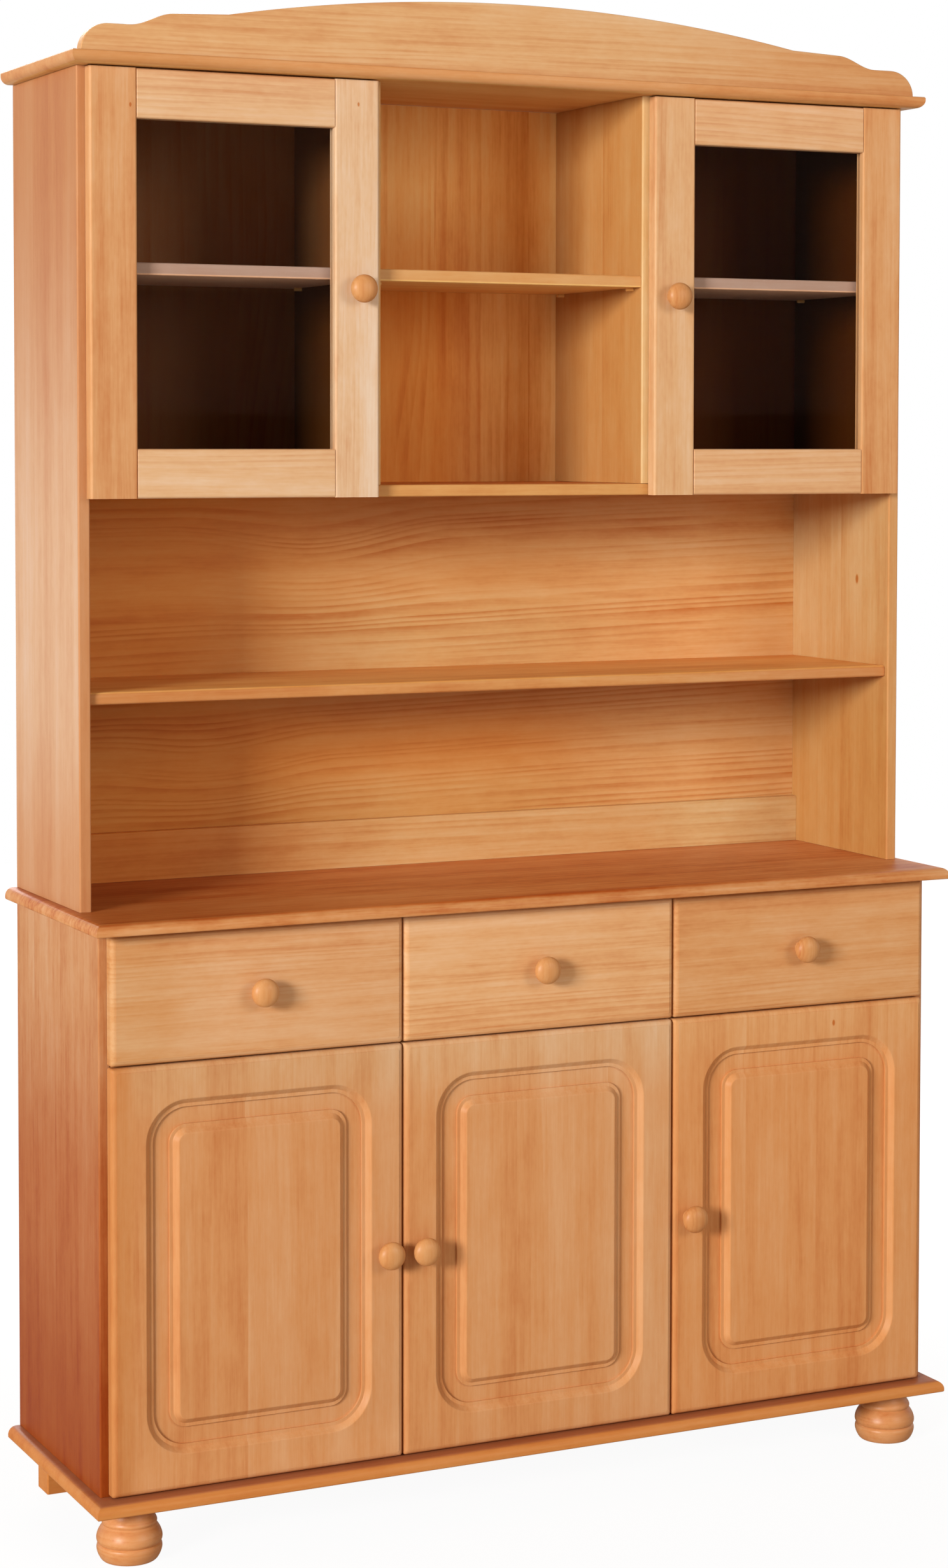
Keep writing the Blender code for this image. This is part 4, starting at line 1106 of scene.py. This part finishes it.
def cup_places(body):
    """The centres of a door's two cups, on the plane of its back."""
    node, sign = HINGED[body]
    low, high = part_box(node)
    x = high.x - CUP_INSET if sign > 0 else low.x + CUP_INSET
    places = []
    for end in ("bottom", "top"):
        arm_low, arm_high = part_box("hinge_%s_%s" % (body, end))
        places.append(Vector((x, high.y, (arm_low.z + arm_high.z) / 2)))
    return places


def bored(mesh, places):
    """Cut a round bore into a front's back at each place."""
    bm = bmesh.new()
    for place in places:
        turn = Matrix.Translation(place) @ Matrix.Rotation(math.radians(90), 4, "X")
        bmesh.ops.create_cone(bm, cap_ends=True, segments=CUP_SIDES, radius1=CUP_RADIUS,
                              radius2=CUP_RADIUS, depth=2 * CUP_DEPTH, matrix=turn)
    drill = bpy.data.objects.new("drill", to_mesh(bm, "drill"))
    block = bpy.data.objects.new("block", mesh)
    for thing in (drill, block):
        parts.objects.link(thing)
    cut = block.modifiers.new("bores", "BOOLEAN")
    cut.operation = "DIFFERENCE"
    cut.object = drill
    result = evaluated_mesh(block)
    for thing in (block, drill):
        bpy.data.objects.remove(thing)
    return result


print("cups at", {body: [round(v, 4) for v in cup_places(body)[0]] for body in HINGED})

# %% [markdown]
# The panelled doors are solid slabs. A router follows a rounded rectangle and cuts a moulding about
# 44 mm wide into the face: a flat slope, a narrow ledge and a small wall lead down to a sunk margin,
# and the same steps lead back up to the field. The whole front is one skin, so every arris runs
# clean round the corners. Each corner keeps its own concentric radius.

# %% Panelled doors
MOULDING_INSET = 42.2 * MM
MOULDING_INNER_CORNER = 10 * MM
SLOPE_WIDTH = 7.2 * MM
SLOPE_DEPTH = 6.0 * MM
SLOPE_ROUND = 2.4 * MM
LEDGE = 4.4 * MM
WALL = 3.2 * MM
ARRIS = 0.3 * MM
MARGIN = 20.8 * MM
SLOPE_STEPS = 6
DOOR_TOP_CHANGE = (0.50, 0.60)


def shoulder(width, depth, radius, steps):
    """Points of a slope that leaves the face in a round, from (0, 0) to (width, depth)."""
    fall = depth - radius
    angle = math.atan2(fall, width) + math.asin(radius / math.hypot(width, fall))
    points = [(radius * math.sin(angle * k / steps), radius * (1 - math.cos(angle * k / steps)))
              for k in range(steps + 1)]
    return points + [(width, depth)]


def moulding_sections():
    """The moulding as (inset from the door's edge, depth, corner radius), from outside inwards."""
    down = [(MOULDING_INSET + along, fall)
            for along, fall in shoulder(SLOPE_WIDTH, SLOPE_DEPTH, SLOPE_ROUND, SLOPE_STEPS)]
    wall = down[-1][0] + LEDGE
    down += [(wall - ARRIS, SLOPE_DEPTH), (wall, SLOPE_DEPTH + ARRIS), (wall, SLOPE_DEPTH + WALL)]
    across = 2 * wall + MARGIN
    both = down + [(across - inset, depth) for inset, depth in reversed(down)]
    return [(inset, depth, MOULDING_INNER_CORNER + both[-1][0] - inset) for inset, depth in both]


def panelled_door(side, seed, tint, top_tint, staves, knots=(), fades=()):
    """A panelled door, a little paler towards its top."""
    node = "door_" + side
    material = pine("lacquered_pine_" + node, tint, "z", "x", seed, lines=0.07, line_gap=14 * MM,
                    staves=staves, knots=knots, fades=(("z", *DOOR_TOP_CHANGE, top_tint),) + fades)
    mesh = bored(front_mesh(node, moulding_sections()), cup_places(node))
    finish_piece(node + "_panel", mesh, material, node, (node,))


panelled_door("left", 20.0, "#CA8D59", "#CA9868", ((-0.400, 0.09),),
              fades=(face_fade("door_left", "bottom", 75 * MM, 15 * MM, "#D0935E"),
                     face_fade("door_left", "left", 38.5 * MM, 13.5 * MM, "#C28049")))
panelled_door("middle", 21.0, "#CD905B", "#D09F6F", ((-0.035, 0.06), (0.10, 0.05)))
panelled_door("right", 22.0, "#D08F57", "#D49A63", ((0.30, -0.04), (0.408, 0.06)),
              ((0.434, 0.581, 0.0018),))
print("panelled doors done")

# %% [markdown]
# A glazed frame is two upright stiles with two rails between them. The joint shows as a fine dark
# line, because both pieces are eased where they meet. Each member is a straight length of one
# section with a groove for the glass, so a stile and a rail differ only in direction.

# %% Glazed doors
STILE = 60 * MM
STILE_OUTER_ROUND = 3.5 * MM
STILE_INNER_ROUND = 3.0 * MM
STILE_STEPS = 6
GLASS_RECESS = 9 * MM
GROOVE = 4.8 * MM
GROOVE_DEEP = 7.4 * MM
JOINT_EASE = 0.5 * MM


def member_section(thick):
    """Stile section as (distance from the outer edge, distance behind the face)."""
    section = [(0.0, thick)]
    section += [(along, STILE_OUTER_ROUND - up)
                for along, up in quarter(STILE_OUTER_ROUND, STILE_OUTER_ROUND, STILE_STEPS, True)]
    section += [(STILE - STILE_INNER_ROUND + along, down)
                for along, down in quarter(STILE_INNER_ROUND, STILE_INNER_ROUND, STILE_STEPS, False)]
    section += [(STILE, GLASS_RECESS), (STILE - GROOVE_DEEP, GLASS_RECESS),
                (STILE - GROOVE_DEEP, GLASS_RECESS + GROOVE), (STILE, GLASS_RECESS + GROOVE),
                (STILE, thick)]
    return section


def member(name, section, origin, inward, run, length, face, ease):
    """A straight length of the section, from origin along run, with eased ends."""
    loops = []
    for end, shrink in ((0.0, ease), (ease, 0.0), (length - ease, 0.0), (length, ease)):
        loops.append([origin + run * end + inward * across + Vector((0, face + max(down, shrink), 0))
                      for across, down in section])
    return skin(name, loops)


def glazed_door(side, seeds, tints, knots=((), ())):
    """Four members and a pane. The first two tints and seeds are the stiles', the last the rails'."""
    body = "glazed_" + side
    node, sign = HINGED[body]
    hinged_stile = "stile_b" if sign > 0 else "stile_a"
    low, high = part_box(node)
    section = member_section(high.y - low.y)
    right = Vector((1, 0, 0))
    up = Vector((0, 0, 1))
    base = Vector((low.x, 0, low.z))
    width = high.x - low.x
    height = high.z - low.z
    stile_a, stile_b = [pine("lacquered_pine_stile_%s_%s" % (side, label), tint, "z", "x", seed,
                             lines=0.10, knots=spots, figure=1.2)
                        for label, tint, seed, spots in zip("ab", tints, seeds, knots)]
    rail_wood = pine("lacquered_pine_rails_" + side, tints[2], "x", "z", seeds[2], lines=0.15)
    lengths = (("stile_a", base, right, up, height, 0.0, stile_a),
               ("stile_b", base + right * width, -right, up, height, 0.0, stile_b),
               ("rail_low", base + right * STILE, up, right, width - 2 * STILE, JOINT_EASE, rail_wood),
               ("rail_high", base + right * STILE + up * height, -up, right, width - 2 * STILE,
                JOINT_EASE, rail_wood))
    for label, origin, inward, run, length, ease, material in lengths:
        mesh = member(label, section, origin, inward, run, length, low.y, ease)
        if label == hinged_stile:
            mesh = bored(mesh, cup_places(body))
        replaced = (node,) if label == "stile_a" else ()
        finish_piece("glazed_%s_%s" % (side, label), mesh, material, body, replaced)
    pane_low, pane_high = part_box("glass_pane_" + side)
    finish_piece("glazed_%s_pane" % side, board_mesh("pane", pane_low, pane_high), glass, body,
                 ("glass_pane_" + side,))


# The stiles beside the centre bay are paler: a painted reflection of the right lamp, on top of its real
# one.
glazed_door("left", (23.0, 23.5, 24.0), ("#CB9462", "#D7B18A", "#D5AA7E"),
            (((-0.522, 1.754, 0.0012),), ((-0.224, 1.768, 0.0012),)))
glazed_door("right", (25.0, 25.5, 26.0), ("#D5A676", "#D19863", "#D7A778"))
print("glazed doors done")

# %% [markdown]
# Knobs and front feet are turned on a lathe. A smooth curve through a few chosen points gives the
# profile, and it is spun into a skin. The points are shares of the piece's radius and height. The
# rear feet are plain blocks.

# %% Turned knobs and feet
KNOB_SHARES = ((0.00, 1.000), (0.30, 0.988), (0.57, 0.945), (0.80, 0.860), (0.95, 0.750),
               (1.00, 0.630), (0.97, 0.510), (0.84, 0.400), (0.64, 0.320), (0.54, 0.240),
               (0.53, 0.120), (0.57, 0.000))
FOOT_SHARES = ((0.700, 1.000), (0.700, 0.876), (0.750, 0.788), (0.815, 0.722), (0.840, 0.672),
               (0.812, 0.628), (0.900, 0.560), (0.965, 0.485), (1.000, 0.405), (0.988, 0.338),
               (0.935, 0.292), (0.985, 0.258), (0.993, 0.190), (0.950, 0.105), (0.880, 0.030),
               (0.830, 0.000))
FOOT_CORNERS = (1, 5, 10)
PROFILE_STEPS = 4
KNOB_TURNS = 48
FOOT_TURNS = 72
BLOCK_STEPS = 3
FIRST_TURNED_SEED = 30.0


def smooth(points, steps, corners=()):
    """Points along a Catmull-Rom curve, which turns sharply at the numbered corners."""
    out = []
    for k in range(len(points) - 1):
        a, b = Vector(points[k]), Vector(points[k + 1])
        before = a - (b - a) if k == 0 or k in corners else Vector(points[k - 1])
        after = b + (b - a) if k + 2 == len(points) or k + 1 in corners else Vector(points[k + 2])
        for step in range(steps):
            t = step / steps
            out.append(0.5 * ((2 * a) + (b - before) * t + (2 * before - 5 * a + 4 * b - after) * t * t
                              + (3 * a - before - 3 * b + after) * t ** 3))
    out.append(Vector(points[-1]))
    return out


def lathe(name, profile, turns, place):
    """Spin (radius, height) points about Z and put the result in its place."""
    bm = bmesh.new()
    rows = []
    for radius, height in profile:
        if radius < SAME_PLACE:
            rows.append([bm.verts.new((0, 0, height))])
        else:
            rows.append([bm.verts.new((radius * math.cos(2 * math.pi * k / turns),
                                       radius * math.sin(2 * math.pi * k / turns), height))
                         for k in range(turns)])
    for row, after in zip(rows, rows[1:]):
        for k in range(turns):
            j = (k + 1) % turns
            corners = [row[k % len(row)], row[j % len(row)], after[j % len(after)], after[k % len(after)]]
            bm.faces.new(dict.fromkeys(corners))
    for row in (rows[0], rows[-1]):
        if len(row) > 1:
            bm.faces.new(row)
    bmesh.ops.transform(bm, matrix=place, verts=bm.verts[:])
    return to_mesh(bm, name)


def knob(node, body, seed):
    """A turned knob that points forwards."""
    low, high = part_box(node)
    radius = (high.x - low.x) / 2
    reach = high.y - low.y
    profile = [(max(radius * r, 0.0), reach * h) for r, h in smooth(KNOB_SHARES, PROFILE_STEPS)]
    centre = Vector(((low.x + high.x) / 2, high.y, (low.z + high.z) / 2))
    place = Matrix.Translation(centre) @ Matrix.Rotation(math.radians(90), 4, "X")
    material = pine("lacquered_pine_" + node, "#CA8E56", "z", "x", seed, lines=0.14, line_gap=5 * MM,
                    shine=0.25, gloss=0.40)
    finish_piece(node + "_turned", lathe(node, profile, KNOB_TURNS, place), material, body, (node,))


def turned_foot(side, seed):
    """A front foot, turned about an upright axis."""
    node = "foot_front_" + side
    low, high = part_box(node)
    radius = (high.x - low.x) / 2
    height = high.z - low.z
    profile = [(radius * r, height * h) for r, h in smooth(FOOT_SHARES, PROFILE_STEPS, FOOT_CORNERS)]
    centre = Vector(((low.x + high.x) / 2, (low.y + high.y) / 2, low.z))
    material = pine("lacquered_pine_" + node, "#CE8C55", "x", "z", seed, lines=0.16, line_gap=7 * MM,
                    shine=0.3, gloss=0.38)
    finish_piece(node + "_turned", lathe(node, profile, FOOT_TURNS, Matrix.Translation(centre)),
                 material, ROOT, (node,))


seed = FIRST_TURNED_SEED
for side in ("left", "middle", "right"):
    knob("drawer_knob_" + side, "drawer_" + side, seed)
    knob("door_knob_" + side, "door_" + side, seed + 1)
    seed += 2
for side in ("left", "right"):
    knob("glazed_knob_" + side, "glazed_" + side, seed)
    turned_foot(side, seed + 1)
    board("foot_rear_%s_block" % side, "foot_rear_" + side, ROOT, plinth_pine,
          ((EASED, BLOCK_STEPS, UPRIGHT_FRONT),))
    seed += 2
print("knobs and feet done")

# %% [markdown]
# A hinge cup is pressed from sheet steel: a shallow dish with a thin flange that lies on the door's
# back, and two ears for its screws. The dish is turned like a knob, and the ears are small plates.
# The screw heads are pins again, on the ears and on the plates of the fixed arms.

# %% Hinge cups and screws
CUP_WALL = 0.6 * MM
CUP_FIT = 0.2 * MM
FLANGE_RADIUS = 19.5 * MM
FLANGE = 0.7 * MM
EAR_THICK = 0.6 * MM
EAR_SHIFT = 6 * MM
EAR_HALF = 6.5 * MM
EAR_REACH = (14 * MM, 29 * MM)
EAR_SCREW = 24 * MM
SCREW = {"Radius": 3.4 * MM, "Tip Radius": 2.2 * MM, "Length": 1.0 * MM, "Material": steel}
PLATE_THICK = 4.2 * MM
PLATE_SCREW_BACK = 45 * MM
PLATE_SCREW_RISE = 17 * MM


def cup_profile():
    """Half section of the dish as (radius, height above the door's back)."""
    outer = CUP_RADIUS - CUP_FIT
    inner = outer - CUP_WALL
    floor = CUP_FIT - CUP_DEPTH
    return [(0.0, floor), (outer, floor), (outer, CUP_FIT / 2), (FLANGE_RADIUS, CUP_FIT / 2),
            (FLANGE_RADIUS, FLANGE), (inner, FLANGE), (inner, floor + CUP_WALL), (0.0, floor + CUP_WALL)]


def hinge_cups(body):
    """Both cups of a door with their ears, and the screw heads on the ears."""
    sign = HINGED[body][1]
    bm = bmesh.new()
    screws = []
    for place in cup_places(body):
        turn = Matrix.Translation(place) @ Matrix.Rotation(math.radians(-90), 4, "X")
        bm.from_mesh(lathe("cup", cup_profile(), CUP_SIDES, turn))
        centre = place.x - sign * EAR_SHIFT
        for up in (-1, 1):
            z_near, z_far = sorted(place.z + up * reach for reach in EAR_REACH)
            ear_low = (centre - EAR_HALF, place.y + CUP_FIT / 2, z_near)
            bm.from_mesh(board_mesh("ear", ear_low, (centre + EAR_HALF, place.y + EAR_THICK, z_far)))
            screws.append((centre, place.y + EAR_THICK, place.z + up * EAR_SCREW))
    finish_piece(body + "_hinge_cups", to_mesh(bm, "cups"), steel, body, ())
    set_pins(body + "_cup_screws", pins_at_points, screws, [], {**SCREW, "Axis": (0, 1, 0)}, body)


def plate_screws(side, sign):
    """Two screw heads on the plate of each arm whose door is hinged on this side."""
    screws = []
    for body in [body for body in HINGED if HINGED[body][1] == sign]:
        for end in ("bottom", "top"):
            low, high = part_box("hinge_%s_%s" % (body, end))
            x = low.x + PLATE_THICK if sign < 0 else high.x - PLATE_THICK
            screws += [(x, low.y + PLATE_SCREW_BACK, (low.z + high.z) / 2 + up * PLATE_SCREW_RISE)
                       for up in (-1, 1)]
    set_pins("plate_screws_" + side, pins_at_points, screws, [], {**SCREW, "Axis": (-sign, 0, 0)}, ROOT)


for body in HINGED:
    hinge_cups(body)
for side, sign in (("left", -1), ("right", 1)):
    plate_screws(side, sign)
print("hinges done")

# %% [markdown]
# The crest board is sawn to an outline: a quarter round at each end, a short flat, a gentle wave up
# to a shoulder and one long arch. The outline is worked out from those few sizes, filled as a flat
# curve with thickness, and its edges are eased with a bevel.

# %% Crest board
CREST_END = (35 * MM, 33 * MM)
CREST_FLAT = 26 * MM
CREST_WAVE = (58 * MM, 16 * MM)
CREST_SHOULDER = (69 * MM, 3 * MM)
CREST_ARCH = 35.5 * MM
CREST_EASE = (1.3 * MM, 3)
WAVE_STEPS = 16
ARCH_STEPS = 48
FLAT_ANGLE = 0.001


def crest_outline(reach):
    """The outline as (along, up) from the middle of its lower edge, for half its length."""
    right = [(reach, 0.0)]
    right += [(reach - along, up) for along, up in quarter(*CREST_END, WAVE_STEPS, True)[1:]]
    start = reach - CREST_END[0] - CREST_FLAT
    height = CREST_END[1]
    for k in range(WAVE_STEPS + 1):
        share = k / WAVE_STEPS
        right.append((start - CREST_WAVE[0] * share,
                      height + CREST_WAVE[1] * (1 - math.cos(math.pi * share)) / 2))
    start -= CREST_WAVE[0]
    height += CREST_WAVE[1] + CREST_SHOULDER[1]
    arch_half = start - CREST_SHOULDER[0]
    radius = (arch_half ** 2 + CREST_ARCH ** 2) / (2 * CREST_ARCH)
    centre = height + CREST_ARCH - radius
    for k in range(ARCH_STEPS):
        along = arch_half * (1 - k / ARCH_STEPS)
        right.append((along, centre + math.sqrt(radius ** 2 - along ** 2)))
    left = [(-along, up) for along, up in reversed(right)]
    return right + [(0.0, height + CREST_ARCH)] + left


def crest():
    """The crest board, filled from its outline."""
    low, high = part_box("crest_board")
    curve = bpy.data.curves.new("crest_outline", "CURVE")
    curve.dimensions = "2D"
    curve.fill_mode = "BOTH"
    curve.extrude = (high.y - low.y) / 2
    outline = crest_outline((high.x - low.x) / 2)
    spline = curve.splines.new("POLY")
    spline.points.add(len(outline) - 1)
    for point, (along, up) in zip(spline.points, outline):
        point.co = (along, up, 0, 1)
    spline.use_cyclic_u = True
    sketch = bpy.data.objects.new("crest_outline", curve)
    parts.objects.link(sketch)
    mesh = evaluated_mesh(sketch)
    bpy.data.objects.remove(sketch)
    place = Matrix.Translation((0, (low.y + high.y) / 2, low.z))
    place @= Matrix.Rotation(math.radians(90), 4, "X")
    bm = bmesh.new()
    bm.from_mesh(mesh)
    bmesh.ops.remove_doubles(bm, verts=bm.verts[:], dist=SAME_PLACE)
    bmesh.ops.dissolve_limit(bm, angle_limit=FLAT_ANGLE, verts=bm.verts[:], edges=bm.edges[:])
    bmesh.ops.transform(bm, matrix=place, verts=bm.verts[:])
    rim = [edge for edge in bm.edges if all(abs(v.co.y - low.y) < SAME_PLACE for v in edge.verts)]
    radius, segments = CREST_EASE
    bmesh.ops.bevel(bm, geom=rim, offset=radius, offset_type="OFFSET", segments=segments, profile=0.5,
                    affect="EDGES", clamp_overlap=True)
    crest_pine = pine("lacquered_pine_crest", "#D2A16D", "x", "z", seed=40.0, lines=0.16,
                      drift=16 * MM, figure=1.1, fades=(("x", 0.15, 0.42, "#CC935D"),))
    finish_piece("crest", to_mesh(bm, "crest"), crest_pine, ROOT, ("crest_board",))


crest()
print("crest done")
